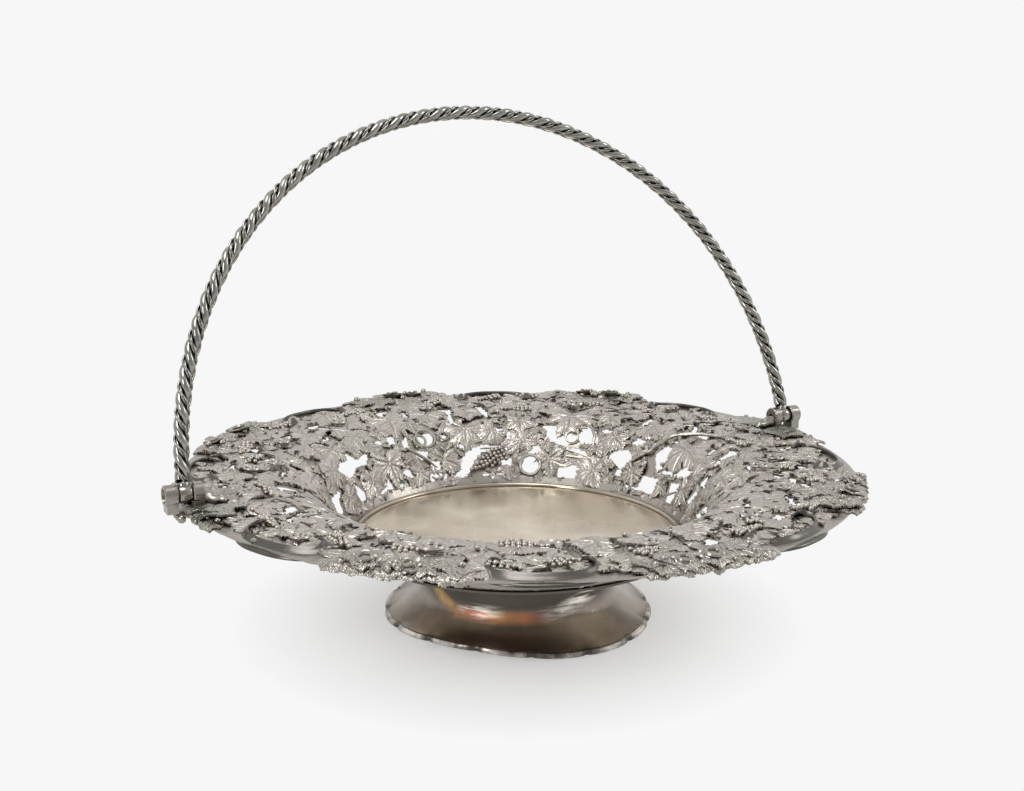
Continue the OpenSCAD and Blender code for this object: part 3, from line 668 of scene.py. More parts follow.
GAPS = [
    [(153.5, 10), (150, 17.5), (141, 17.5), (141, 15.5), (144, 13.5), (146, 9), (149, 8.5)],
    [(145.6, 25.5), (145, 29.5), (143.6, 29), (143.5, 26)],
    [(131.8, 10), (131, 6.5), (128, 6.5), (126.6, 10), (129.5, 14.8)],
    [(133, 25.5), (129.5, 29), (126, 28.3), (124.5, 33.5), (122, 26.8), (118, 28.6), (117.3, 27),
     (119.6, 23), (125, 23.2), (126, 19.6), (130, 20.5)],
    [(114.6, 9), (113, 13.2), (112.3, 6), (119.5, 5.6), (119.5, 6.4)],
    [(109.8, 5.6), (108.5, 8.8), (106.3, 5.6)],
    [(105.6, 10.5), (104.8, 14.8), (102.6, 13.5), (102.2, 9.5)],
    [(111.6, 32.5), (108.2, 34.8), (108, 31.4)],
    [(106.6, 30.2), (105.2, 35.4), (103, 35.6), (103.4, 30)],
    [(101.6, 26), (101, 30.5), (98.5, 33), (99.6, 27)],
    [(100.3, 23.8), (93.7, 22), (94.8, 17.4), (97, 18.5)],
    [(97.2, 28), (95.4, 31), (90.6, 33.6), (89.6, 28), (93, 25.2), (96, 25)],
    [(93.7, 11), (93.2, 16.2), (90.4, 15), (90.6, 10.8)],
    [(95.5, 5.4), (95.2, 8.6), (89.2, 8.8), (88, 6.2)],
    [(85.6, 5.4), (85.2, 7.5), (82.4, 9.4), (82.2, 5.4)],
    [(82.6, 9.6), (81.8, 15), (79, 19.2), (77, 21.4), (75.4, 17.2), (78.2, 13), (79.4, 8.6),
     (81.6, 6.4)],
    [(87.6, 27.6), (87, 31), (85.4, 30.5), (85.6, 27.4)],
    [(76.6, 20.5), (75.2, 22.6), (69.4, 22), (69.2, 20), (74, 18.8)],
    [(76.5, 5.2), (70, 6.6), (66, 5.2)],
    [(82.2, 21.6), (81.8, 24), (80.2, 23.4), (80.6, 21.4)],
    [(65.9, 26.2), (65.2, 31), (64.1, 30.4), (64.6, 26)],
    [(58.2, 17.2), (56.8, 21.4), (54.3, 21.6), (55, 18), (57, 16.4)],
    [(60.6, 8), (59.4, 14.6), (56.4, 15.8), (54.4, 11), (55.4, 6.4), (58.6, 5.6)],
    [(67.6, 11), (67.2, 14.4), (64.3, 14.2), (64.4, 10.6)],
    [(69, 31), (68.6, 33.6), (66.8, 33), (67.2, 31)],
    [(55, 35.2), (52.5, 36), (49.9, 36.6), (50, 30), (49.6, 26.2), (50.6, 24.8), (52.8, 30), (53, 33)],
    [(50.2, 25.4), (47.6, 28.6), (45, 31), (42, 29), (43.4, 25.6), (46.4, 23)],
    [(47, 9.4), (46.6, 5.2), (40.4, 5.2), (40, 11), (42, 12.6), (45, 10.6)],
    [(43.6, 20.6), (42.8, 22), (39, 20.6), (36.4, 17.6), (38.6, 17.4)],
    [(41.6, 36), (39, 37.6), (35.4, 29), (37, 26), (40.6, 26), (42, 30)],
    [(35.4, 34.4), (34.6, 37.2), (31.8, 36.4), (32.2, 34)],
    [(29.2, 19.4), (27, 23.4), (24, 25.2), (21.2, 22), (22.4, 17.2), (24, 14.4), (26.2, 17)],
    [(26.2, 10), (24.4, 13.4), (22.4, 12.6), (23, 9.8)],
    [(23.6, 29.4), (22.6, 34), (19.8, 33.4), (20.2, 29.2)],
    [(16.2, 28), (15.6, 33), (14.4, 32), (14.8, 28)],
    [(11, 33.2), (8.4, 33), (6.8, 26.4), (7.4, 20), (10, 20), (12.4, 26.4)],
    [(14.2, 6.5), (13.6, 13.2), (7.2, 13.6), (6.9, 5.6), (19, 5.6), (19, 7)],
    [(10.2, 36), (9.4, 40), (8.3, 36.6)],
    [(0.2, 18.6), (-1.8, 24.6), (-6.4, 24.2), (-5, 19)],
    [(6.8, 18), (5.6, 19.8), (1, 19.4), (1.4, 18)],
    [(0, 14.8), (-4.8, 15.6), (-5.6, 6), (-1.8, 5.4), (-1.2, 9)],
    [(-13.8, 11), (-14.2, 17.6), (-17.8, 17), (-16.4, 10)],
    [(-15, 21.4), (-15.4, 27.4), (-17.4, 25), (-19.4, 22), (-18, 21)],
    [(-3.4, 43.6), (-4.6, 38), (-6.6, 37.2), (-5.6, 41.4)],
    [(-8.4, 46), (-9.6, 44.4), (-11, 38.6), (-13, 39.4), (-13, 47)],
    [(9, 55), (7, 49.4), (3, 48.6), (4.4, 51.6), (7, 55)],
    [(13.8, 59.8), (9.6, 50), (8.8, 51), (12.2, 59.6)],
    [(10, 60.6), (6.4, 58.4), (3.4, 55), (5, 56.4)],
    [(13, 52), (12.4, 45), (11.6, 45), (12.2, 52)],
    [(26.2, 57.4), (25.8, 47), (23.8, 47.6), (24.2, 52), (25, 57)],
    [(39.4, 60.4), (38.6, 63.6), (35.6, 62.6), (36.2, 60.2)],
    [(69.6, 43.4), (69, 48.4), (67.2, 46.4), (67.6, 41)],
    [(73.2, 62.4), (72, 50), (71, 46.8), (70.2, 52), (71.6, 62)],
    [(82.8, 62), (82.4, 57), (81.6, 56), (83, 41.6), (81.6, 43), (79.6, 57), (79.6, 60), (81.2, 60)],
    [(93.4, 54), (92.6, 63), (91.6, 62), (92, 54.4)],
    [(98.8, 62), (98.4, 65), (96.6, 64.6), (97, 61.8)],
    [(105.6, 55), (105, 60.4), (104.2, 60), (104.8, 55)],
    [(93.2, 42), (92, 46), (91.6, 44.6)],
    [(125.4, 47.6), (120, 50), (119.6, 48.4), (123, 46)],
    [(140.6, 45.4), (139, 47.4), (137.8, 46)],
    [(145.6, 60.4), (144.4, 63), (141, 63.8), (141.4, 61.2)],
    [(154.8, 68), (153.4, 71), (150.8, 70.4), (152, 68)],
    [(148.2, 54.4), (147, 58), (144.6, 57.4), (145.6, 54.2)],
    [(141.6, 66), (140, 69.6), (137.6, 69), (138.8, 66)],
    [(132, 60.6), (130.4, 63.6), (128.6, 62.6), (130, 60.4)],
    [(119.4, 64.6), (118, 69), (115, 68.6), (116, 65)],
    [(98.6, 66), (97.4, 69.6), (94.4, 69), (95.4, 66)],
    [(129, 63.6), (127.6, 67), (125.4, 66.4), (126.6, 63.6)],
    [(158.8, 45), (156, 46), (153, 44.4), (155, 43)],
    [(-11.6, 69.4), (-12.4, 72.6), (-14.6, 72), (-13.8, 69.2)],
    [(1, 74.4), (-0.4, 77), (-2.2, 76.4), (-1, 74.2)],
    [(15.4, 66.6), (13.6, 71), (11.4, 70), (13, 66.6)],
    [(16.6, 75.6), (15, 79), (13.4, 78.4), (14.6, 75.6)],
]
GAP_START = -20.0
GAP_STEP = 6.0
GAP_SPREAD = 1.14
BRIM_SPREAD = 1.5
BRIM_FROM = 42
RAGGED_TURN = 0.5
RAGGED_RUN = 0.7

# How often a search is halved, and the least slope at which a leaf is looked at from the front
HALVINGS = 14
LEAST_FALL = -0.2


def widened(outline):
    """An outline spread about its middle, and more so up the brim, where leaves stand before it."""
    middle_angle = sum(angle for angle, _ in outline) / len(outline)
    middle_run = sum(run for _, run in outline) / len(outline)
    up = BRIM_SPREAD if middle_run > BRIM_FROM else GAP_SPREAD
    return [(middle_angle + (angle - middle_angle) * GAP_SPREAD, middle_run + (run - middle_run) * up)
            for angle, run in outline]


def gap_table():
    """The gaps that reach into each slice of half the border."""
    table = {}
    for outline in map(widened, GAPS):
        angles = [angle for angle, _ in outline]
        first = int((min(angles) - 1 - GAP_START) // GAP_STEP)
        last = int((max(angles) + 1 - GAP_START) // GAP_STEP)
        for slice_index in range(first, last + 1):
            table.setdefault(slice_index, []).append(outline)
    return table


GAP_TABLE = gap_table()


def inside(outline, x, y):
    """Whether a point is inside an outline."""
    found = False
    for (x_0, y_0), (x_1, y_1) in zip(outline, outline[1:] + outline[:1]):
        if (y_0 > y) != (y_1 > y) and x < x_0 + (x_1 - x_0) * (y - y_0) / (y_1 - y_0):
            found = not found
    return found


def in_gap(angle, run):
    """Whether a place is inside a ragged gap of the border."""
    turn = (angle - GAP_START) % 180 + GAP_START
    outlines = GAP_TABLE.get(int((turn - GAP_START) // GAP_STEP), ())
    if not outlines:
        return False
    ragged = noise.noise(Vector((turn * 1.3, run * 0.9, 3.0)))
    turn += RAGGED_TURN * ragged
    run += RAGGED_RUN * ragged
    return any(inside(outline, turn, run) for outline in outlines)


def thicken(bm, thick):
    """Gives a flat sheet a back below it and closes its edges."""
    made = bmesh.ops.extrude_face_region(bm, geom=bm.faces[:], use_keep_orig=True)["geom"]
    back = [item for item in made if isinstance(item, bmesh.types.BMVert)]
    bmesh.ops.translate(bm, verts=back, vec=(0, 0, -thick))


def border_place(angle, run, point):
    """The angle and the run of a point that is still flat, for a shape to be laid at a place."""
    up = run + point.y
    return angle - math.degrees(point.x / section(up)[0]), up


def run_at(radius):
    """The run up the border at which its middle line has a radius."""
    low, high = 0.0, LIP_RUN
    for _ in range(HALVINGS):
        middle = (low + high) / 2
        if section(middle)[0] < radius:
            low = middle
        else:
            high = middle
    return low


def hidden_place(angle, run, lift, point):
    """The angle and the run of the place on the sheet that a raised point hides from the front."""
    at = on_border(angle, run + point.y, point.x, lift + point.z)
    out = at - on_border(angle, run + point.y, point.x, lift + point.z - 1)
    way = (at - EYE).normalized()
    fall = min(way.dot(out), LEAST_FALL)
    spot = at - way * ((lift + point.z) / fall)
    return math.degrees(math.atan2(spot.y, spot.x)), run_at(math.hypot(spot.x, spot.y))


def over_gap(angle, run, lift, point):
    """Whether a raised point covers a gap from above or from the front."""
    return in_gap(*border_place(angle, run, point)) or in_gap(*hidden_place(angle, run, lift, point))


def add_leaf(bm, kind, size, angle, run, turn, lift, tilt=0.0):
    """Lays a leaf on the border; what would cover a gap from above or from the front is cut away."""
    leaf = bmesh.new()
    leaf.from_mesh(LEAVES[kind])
    bmesh.ops.transform(leaf, matrix=turned(turn, tilt) @ Matrix.Scale(size, 4), verts=leaf.verts)
    cut = [face for face in leaf.faces if over_gap(angle, run, lift, face.calc_center_median())]
    bmesh.ops.delete(leaf, geom=cut, context="FACES")
    thicken(leaf, LEAF_T)
    for vert in leaf.verts:
        past = max(run + vert.co.y - EDGE_RUN, 0.0)
        short = max(LEAF_LOW - run - vert.co.y, 0.0)
        up = run + vert.co.y - EDGE_SQUASH * past + LOW_SQUASH * short
        vert.co = on_border(angle, up, vert.co.x, lift + vert.co.z)
    bmesh.ops.recalc_face_normals(leaf, faces=leaf.faces)
    add_bmesh(bm, leaf)


def add_berry(bm, radius, angle, run, side, lift):
    """A berry on the border, to the right of a place and off the surface."""
    verts = add_mesh(bm, BERRY)
    centre = on_border(angle, run, side, lift)
    for vert in verts:
        vert.co = centre + vert.co * radius


# Rows and grapes of a bunch are this many grape radii apart, and it is heaped up in its middle
GRAPE_ROW = 1.5
GRAPE_STEP = 1.6
BUNCH_HEAP = 2.4


def add_bunch(bm, angle, run, turn, length, width, grape):
    """A wedge of grapes, widest at its stalk, heaped in the middle."""
    rows = int(length / (grape * GRAPE_ROW))
    wedge = Matrix.Rotation(math.radians(turn), 2)
    for row in range(rows):
        share = row / (rows - 1)
        half = width / 2 * (1 - 0.85 * share) * (0.7 + 0.3 * min(1.0, share * 4))
        count = max(1, round(2 * half / (GRAPE_STEP * grape)))
        for i in range(count):
            across = (i - (count - 1) / 2) * GRAPE_STEP * grape + (row % 2) * 0.4 * grape
            heap = BUNCH_HEAP * (1 - (across / (half + grape)) ** 2) * (1 - 0.5 * share)
            spot = wedge @ Vector((across + chance.uniform(-0.3, 0.3), length * (share - 0.5)))
            add_berry(bm, grape * chance.uniform(0.85, 1.15), angle, run + spot.y, spot.x,
                      0.4 + heap + chance.uniform(-0.4, 0.4))


RING_STEPS = 18
TENDRIL_TURNS = 1.7
TENDRIL_STEPS = 30
STEM_STEPS = 6


def add_tendril(bm, angle, run, marks, radius, lift, closed=False):
    """A wire that lies on the border; its marks are to the right and up, in millimetres."""
    points = [on_border(angle, run + up, side, lift) for side, up in marks]
    ups = [off_border(angle, run + up, side, lift) for side, up in marks]
    add_bmesh(bm, wire(points, ups, [radius] * len(points), closed=closed))


def curl_marks(radius):
    """A spiral that winds in to its middle."""
    marks = []
    for i in range(TENDRIL_STEPS + 1):
        turn = 2 * math.pi * TENDRIL_TURNS * i / TENDRIL_STEPS
        reach = radius * (1 - 0.8 * i / TENDRIL_STEPS)
        marks.append((reach * math.cos(turn), reach * math.sin(turn)))
    return marks


def add_stem(bm, stops, radius, lift):
    """A stem through (angle, run) stops, thickest in its middle."""
    places = []
    for (angle_0, run_0), (angle_1, run_1) in zip(stops, stops[1:]):
        for i in range(STEM_STEPS):
            share = i / STEM_STEPS
            places.append((angle_0 + (angle_1 - angle_0) * share, run_0 + (run_1 - run_0) * share))
    places.append(stops[-1])
    points = [on_border(angle, run, 0, lift) for angle, run in places]
    ups = [off_border(angle, run, 0, lift) for angle, run in places]
    last = len(points) - 1
    radii = [radius * (0.7 + 0.3 * math.sin(math.pi * i / last)) for i in range(last + 1)]
    add_bmesh(bm, wire(points, ups, radii, 7))


# The plain field inside a C-scroll: degrees to either side of the bay's middle, and where it starts
FIELD_HALF = 9.0
FIELD_LOW = 80.0


def in_field(angle, run):
    """Whether a place is in the plain field inside a C-scroll."""
    off = (angle % BAY) - BAY / 2
    return abs(off) < FIELD_HALF and run > FIELD_LOW


SHEET_COLUMNS = 84
SHEET_ROWS = 84
SHEET_T = 1.0
SHEET_LOW = 3.0
SHEET_HIGH = EDGE_RUN - 0.4
SHEET_SWELL = 0.5
SHEET_MARGIN = 0.1


def vine_sheet(bay):
    """The cast sheet behind the leaves over one bay, with its ragged gaps."""
    bm = bmesh.new()
    bmesh.ops.create_grid(bm, x_segments=SHEET_COLUMNS, y_segments=SHEET_ROWS, size=0.5)
    for vert in bm.verts:
        vert.co.x = BAY * (0.5 - vert.co.x)
        vert.co.y = SHEET_LOW + (SHEET_HIGH - SHEET_LOW) * (vert.co.y + 0.5)
    mark_flat(bm, lambda co: SHEET_PLACE)
    holes = []
    for face in bm.faces:
        middle = face.calc_center_median()
        if in_gap(bay * BAY + middle.x, middle.y):
            holes.append(face)
    bmesh.ops.delete(bm, geom=holes, context="FACES")
    edge = [vert for vert in bm.verts
            if vert.is_boundary and SHEET_MARGIN < vert.co.x < BAY - SHEET_MARGIN
            and SHEET_LOW + SHEET_MARGIN < vert.co.y < SHEET_HIGH - SHEET_MARGIN]
    bmesh.ops.smooth_vert(bm, verts=edge, factor=0.5, use_axis_x=True, use_axis_y=True, use_axis_z=False)
    for vert in bm.verts:
        if not in_field(vert.co.x, vert.co.y):
            place = Vector((vert.co.x * 0.3 + bay * 14, vert.co.y * 0.16, 1.0))
            vert.co.z = SHEET_SWELL * noise.noise(place)
    thicken(bm, SHEET_T)
    for vert in bm.verts:
        vert.co = on_border(bay * BAY + vert.co.x, vert.co.y, 0, vert.co.z)
    bmesh.ops.recalc_face_normals(bm, faces=bm.faces)
    return bm


# Leaves of half the border, as kind, size, angle, run and turn; the other half repeats them

WALL_LEAVES = [
    (0, 11.5, 138.5, 11.5, 175), (1, 12, 156, 25, 160), (1, 11, 138.5, 27, 190), (0, 12.5, 129, 37, 165),
    (1, 10.5, 121, 13.5, 185), (0, 13.5, 110.5, 19, 180), (3, 8.5, 99.3, 11, 150),
    (0, 12, 88.4, 16, 178), (1, 15, 79, 33.5, 176), (1, 10.5, 61.3, 23.5, 20), (0, 9.5, 61.5, 38, 185),
    (0, 11, 50.8, 14.5, 190),
    (0, 19, 46.5, 44, 180), (1, 13, 33.6, 10, 90), (2, 8, 35, 22, 10), (0, 10, 29.5, 30.5, 170),
    (2, 6, 28.5, 13.5, 60), (2, 11.5, 18, 13.5, 185), (3, 7, 19, 25, 20), (1, 19, 2.4, 34, 195),
    (3, 8.5, 4.2, 12, 175), (0, 11, -9.6, 14.5, 180), (3, 9, -9, 31, 200), (0, 15, 100, 47.5, 165),
    (1, 12, 116, 40, 175), (2, 11, 147, 39, 205), (0, 11, 152, 31, 150), (1, 9, 121.8, 33, 170),
    (3, 8, 114.3, 30, 190), (1, 10, 70.5, 31, 150), (2, 8, 96, 41, 180), (0, 9, 12, 44, 160),
    (0, 12, 160, 14, 185), (2, 9, -12, 24, 160), (3, 7, 66.5, 8.5, 200), (3, 8, 145, 22, 170),
]
UPPER_LEAVES = [
    (1, 13, 88, 50, 175), (0, 13, 77, 51, 180), (1, 14, 62, 53, 170), (0, 12, 54, 56, 190),
    (2, 11, 35, 47, 165), (1, 13, 20.5, 45, 175), (0, 13, 14.5, 53, 180), (1, 13, -9, 55, 165),
    (0, 14, 126, 53, 170),
    (0, 11, 136, 45, 175), (0, 13, 110, 56, 185), (1, 13, 147, 51, 160), (0, 12, 156.5, 38, 190),
    (2, 12, 29, 57, 200), (2, 11, -15, 40, 170), (1, 12, -15, 50, 185), (0, 12, 5, 62, 175),
    (0, 13, 118, 52, 150), (1, 12, 69, 55, 200), (2, 12, 40, 58, 170), (0, 12, 96, 57, 190),
]
WALL_LIFT = (1.2, 1.8)
WALL_TILT = 4
UPPER_LIFT = (1.2, 2.0)
UPPER_TILT = 5

# Rows of brim leaves, as how many, their run and their size
BRIM_ROWS = [(22, 65.0, 11.5), (24, 75.0, 11.0), (22, 84.0, 10.5)]
BRIM_LIFT = (1.2, 2.0)
BRIM_TILT = 6
ROW_START = -10
ROW_SHAKE = 2.5

# Small sprigs fill the sheet between the leaves, in rows
SPRIG_ROWS = 10
SPRIG_RUN = 5.0
SPRIG_STEP = 8.5
SPRIG_SIZE = (4.6, 6.6)
SPRIG_LIFT = (0.8, 1.3)
SPRIG_TILT = 8


def either_way(most):
    """A chance number from minus a most to that most."""
    return chance.uniform(-most, most)


def leaf_places():
    """Every leaf of half the border: kind, size, angle, run, turn, lift and tilt."""
    places = []
    for leaf in WALL_LEAVES:
        places.append((*leaf, chance.uniform(*WALL_LIFT), either_way(WALL_TILT)))
    for leaf in UPPER_LEAVES:
        places.append((*leaf, chance.uniform(*UPPER_LIFT), either_way(UPPER_TILT)))
    for count, row_run, row_size in BRIM_ROWS:
        for i in range(count):
            angle = ROW_START + 180 * (i + either_way(0.25)) / count
            turn = chance.uniform(120, 240) if i % 3 else either_way(60)
            kind = chance.randrange(LEAF_KINDS)
            size = row_size * chance.uniform(0.8, 1.1)
            run = row_run + either_way(ROW_SHAKE)
            place = (kind, size, angle, run, turn, chance.uniform(*BRIM_LIFT), either_way(BRIM_TILT))
            if not in_field(angle, run + 2):
                places.append(place)
    for row in range(SPRIG_ROWS):
        row_run = SPRIG_RUN + SPRIG_STEP * row
        count = round(math.pi * section(row_run)[0] / SPRIG_STEP)
        for i in range(count):
            angle = ROW_START + 180 * (i + chance.uniform(0.1, 0.9)) / count
            kind = LEAF_KINDS + chance.randrange(len(LEAVES) - LEAF_KINDS)
            size = chance.uniform(*SPRIG_SIZE)
            run = row_run + either_way(ROW_SHAKE)
            turn = chance.uniform(0, 360)
            lift = chance.uniform(*SPRIG_LIFT)
            places.append((kind, size, angle, run, turn, lift, either_way(SPRIG_TILT)))
    return places


def grow_leaf(bm, extra, place):
    """One leaf, and often a berry near its edge."""
    kind, size, angle, run, turn, lift, tilt = place
    add_leaf(bm, kind, size, angle + extra, run, turn, lift, tilt)
    luck = random.Random(int(angle * 37 + run * 11))
    for _ in range(luck.choice((0, 1, 1)) if kind < LEAF_KINDS else 0):
        way = luck.uniform(0, 2 * math.pi)
        reach = size * luck.uniform(0.45, 0.75)
        side, up = reach * math.cos(way), reach * math.sin(way)
        radius = luck.uniform(0.7, 1.2)
        if not in_gap(*border_place(angle, run, Vector((side, up, 0)))):
            add_berry(bm, radius, angle + extra, run + up, side, lift + 0.6)


# Bunches are an angle, a run, a turn, a length, a width and a grape's radius; rings and curls an
# angle, a run, a radius, the wire's radius and its lift; stems their stops, a radius and a lift

BUNCHES = [
    (73, 12.5, 115, 20, 12, 1.3), (-6.6, 54, 100, 15, 9, 1.2), (59.9, 79, 80, 12, 8, 1.15),
    (63, 51, 90, 18, 8, 1.3), (104.9, 69.5, 95, 16, 9, 1.2), (84, 68, 120, 14, 9, 1.2),
    (31, 68, 60, 15, 9, 1.2), (142, 71, 100, 15, 9, 1.2), (151, 62, 70, 12, 8, 1.15),
    (15, 72, 80, 14, 9, 1.2), (111, 61, 140, 14, 9, 1.2), (44, 66, 100, 14, 9, 1.2),
    (124, 76, 80, 12, 8, 1.15), (69, 74, 110, 12, 8, 1.15),
]
RINGS = [
    (95.5, 28, 3.3, 0.75, 1.6), (93.3, 29.2, 5.3, 0.85, 1.4), (57.4, 10.6, 5.6, 0.95, 1.2),
    (44, 28.2, 3.5, 0.6, 1.2), (68.4, 44.8, 4.0, 0.8, 1.6), (86.5, 29.3, 2.4, 0.5, 1.2),
]
CURLS = [
    (151.9, 48.2, 4.6, 0.7, 2.6), (157.6, 58.6, 4.6, 0.7, 2.6), (112.3, 58, 5.0, 0.8, 3.0),
    (47, 62.5, 6.0, 0.9, 3.2), (3, 72, 4.6, 0.8, 2.6), (134, 58, 4.0, 0.7, 2.6),
    (86, 60, 4.4, 0.7, 2.6), (25, 76, 4.2, 0.7, 2.6),
]
STEMS = [
    ([(101.5, 25.5), (98, 21), (94.5, 16.5), (92, 12)], 0.95, 1.0),
    ([(20, 19), (14.5, 27), (11.2, 40), (6, 47), (0, 53)], 1.0, 1.6),
    ([(95, 7.4), (93.6, 5.8), (91, 6.2), (89, 9.4)], 0.75, 0.8),
    ([(1.2, 6.6), (0.4, 8.6), (-2, 8.2), (-5.8, 11.5)], 0.8, 0.6),
    ([(49, 13), (46.6, 11.4), (44, 11), (41, 13.2)], 0.75, 1.2),
    ([(45, 20.6), (40, 18.8), (35.6, 17)], 0.6, 0.8),
    ([(45, 17), (40, 16.8), (35.6, 17)], 0.6, 0.8),
    ([(128, 20), (123, 17.4), (118, 15.6)], 0.9, 0.6),
    ([(75, 20.4), (70, 20.6), (64, 22)], 0.7, 0.6),
    ([(39.6, 38), (36.6, 30), (36, 22)], 0.9, 0.8),
    ([(143, 34), (145, 27), (141, 21)], 0.9, 0.4),
]


def panel_at(panels, angle):
    """The panel that an angle falls in."""
    return panels[int(angle % 360 // BAY)]


def grow_trim(panels, extra):
    """Grapes, rings, curls and stems of half the border, each in the panel where it starts."""
    for angle, *bunch in BUNCHES:
        add_bunch(panel_at(panels, angle + extra), angle + extra, *bunch)
    for angle, run, radius, thick, lift in RINGS:
        marks = circle_points(RING_STEPS, radius)
        add_tendril(panel_at(panels, angle + extra), angle + extra, run, marks, thick, lift, True)
    for angle, run, radius, thick, lift in CURLS:
        marks = curl_marks(radius)
        add_tendril(panel_at(panels, angle + extra), angle + extra, run, marks, thick, lift)
    for stops, radius, lift in STEMS:
        moved = [(angle + extra, run) for angle, run in stops]
        add_stem(panel_at(panels, moved[0][0]), moved, radius, lift)


# The plain strip at the foot of each panel, between two runs, and half the gap at its seams in degrees
BAND_LOW = 0.2
BAND_HIGH = 4.6
BAND_SEAM = 0.05


def beside_section(run, lift):
    """Radius and height at a run, off the border's middle line."""
    r, z, slope = section(run)
    return r - lift * math.sin(slope), z + lift * math.cos(slope)


def band(bay):
    """The plain strip of the border over one bay."""
    runs = [BAND_LOW + (BAND_HIGH - BAND_LOW) * i / 4 for i in range(5)]
    face = [beside_section(run, BORDER_T / 2) for run in runs]
    back = [beside_section(run, -BORDER_T / 2) for run in reversed(runs)]
    loop = face + back
    bm = spun(loop + loop[:1], 18, BAY - 2 * BAND_SEAM, bay * BAY + BAND_SEAM)
    bmesh.ops.holes_fill(bm, edges=[edge for edge in bm.edges if edge.is_boundary], sides=0)
    mark_flat(bm, lambda co: BAND_PLACE)
    return bm


def build_border():
    """The eight vine panels."""
    places = leaf_places()
    panels = [bmesh.new() for _ in range(BAYS)]
    for extra in (0, 180):
        for place in places:
            grow_leaf(panel_at(panels, place[2] + extra), extra, place)
        grow_trim(panels, extra)
    for bay, bm in enumerate(panels):
        add_bmesh(bm, vine_sheet(bay))
        add_bmesh(bm, band(bay))
        make_piece(f"vine_panel_{bay + 1}", bm, vine_silver)


build_border()


# C-scrolls along the rim: a ridge, a hollow face and a thin lip, with both ends curled inward

SCROLL_RUN = EDGE_RUN - 2.2
SCROLL_LIFT = 1.0
SCROLL_SHARE = 0.66
SCROLL_OUTLINE = [
    (-3.8, -1.4), (-3.7, 0.9), (-3.3, 1.7), (-2.7, 1.9), (-2.1, 1.5), (-1.2, 0.3), (0.2, -0.8),
    (1.8, -1.9), (3.0, -2.7), (3.9, -3.0), (4.6, -3.7), (4.7, -4.8), (3.9, -5.3), (0.0, -2.6),
]

# Two scrolls sit round from the middle of their bay, by these degrees
SCROLL_TURNS = {5: -2.2, 6: -3.0}

# Each half of a scroll is walked from its middle in steps of 1 mm. It bows, curls, tightens, rises and
# tapers, each between two steps.
SCROLL_STEPS = 35
BOW_STEPS = (0, 10)
CURL_STEPS = (16, 27)
TIGHT_STEPS = (26, SCROLL_STEPS)
RISE_STEPS = (20, 34)
TAPER_STEPS = (28, SCROLL_STEPS)
BOW = 0.2
CURL_R = 5.6
CURL_TIGHT = 1.6
CURL_LIFT = 2.8
CURL_THIN = 0.1
END_THIN = 0.2


def scroll_marks():
    """The scroll's line as side, up, lift and a share of its full width."""
    side, up, heading = 0.0, 0.0, 0.0
    half = []
    for step in range(1, SCROLL_STEPS + 1):
        curl = smoothstep(*CURL_STEPS, step)
        bow = BOW * smoothstep(*BOW_STEPS, step)
        heading += (bow + (1 - bow) * curl) / (CURL_R - CURL_TIGHT * smoothstep(*TIGHT_STEPS, step))
        side += math.cos(heading)
        up -= math.sin(heading)
        lift = SCROLL_LIFT + CURL_LIFT * smoothstep(*RISE_STEPS, step)
        share = SCROLL_SHARE - CURL_THIN * curl - END_THIN * smoothstep(*TAPER_STEPS, step)
        half.append((side, up, lift, share))
    left = [(-side, up, lift, share) for side, up, lift, share in reversed(half)]
    return left + [(0.0, 0.0, SCROLL_LIFT, SCROLL_SHARE)] + half


def build_scrolls():
    """The eight C-scrolls, one to a bay."""
    marks = scroll_marks()
    shares = [share for *_, share in marks]
    for k in range(BAYS):
        angle = (k + 0.5) * BAY + SCROLL_TURNS.get(k, 0.0)
        points = [on_border(angle, SCROLL_RUN + up, side, lift) for side, up, lift, _ in marks]
        ups = [off_border(angle, SCROLL_RUN + up, side, lift) for side, up, lift, _ in marks]
        bm = sweep(SCROLL_OUTLINE, path_stations(points, ups, shares))
        make_piece(f"rim_scroll_{k + 1}", bm, scroll_silver, sharp=50)


build_scrolls()


# Clusters of leaves, berries and roses over the seams of the border

CLUSTER_RUN = EDGE_RUN - 6.0
CLUSTER_HALF = 25
CLUSTER_LIFT = (1.4, 3.2)
CLUSTER_HANG = 0.9
CLUSTER_BERRIES = 14

# Leaves of a cluster, as kind, size, places to the right and up, and turn
CLUSTER_LEAVES = [
    (1, 12, 10, -3, 80), (0, 12, -11, -3, -85), (2, 10, 20, -2, 75), (2, 10, -20, -2, -80),
    (0, 11, 4, -12, 170), (3, 11, -8, -11, 200), (0, 8, 9, -1, 30), (1, 8, -6, -1, -20),
    (0, 7.5, 17, -1, 50), (0, 7.5, -16, -1, -45), (3, 8, 25, -2, 85), (3, 8, -25, -2, -85),
    (0, 7.5, 0, 3, 10), (2, 7, 12, 3, -15), (2, 7, -12, 3, 20), (0, 7, 22, 3, 25), (0, 7, -22, 3, -20),
]

# Where each cluster's two roses sit to the right of its seam, and their sizes
ROSES = {
    1: (10.7, -6.0), 2: (0.0, 13.0), 3: (11.3, -16.0), 5: (13.0, -5.0), 6: (0.0, 13.0), 7: (5.6, -12.0),
}
ROSE_SIZES = (6.0, 4.6)
ROSE_RUN = CLUSTER_RUN + 2
ROSE_LIFT = 2.6
ROSE_TILT = -20.0
PETALS = 7
PETAL_STEP = 52
ROSE_RING_STEPS = 16


def angle_aside(angle, side):
    """The angle of a place to the right of another, along the border's edge."""
    return angle - math.degrees(side / EDGE_R)


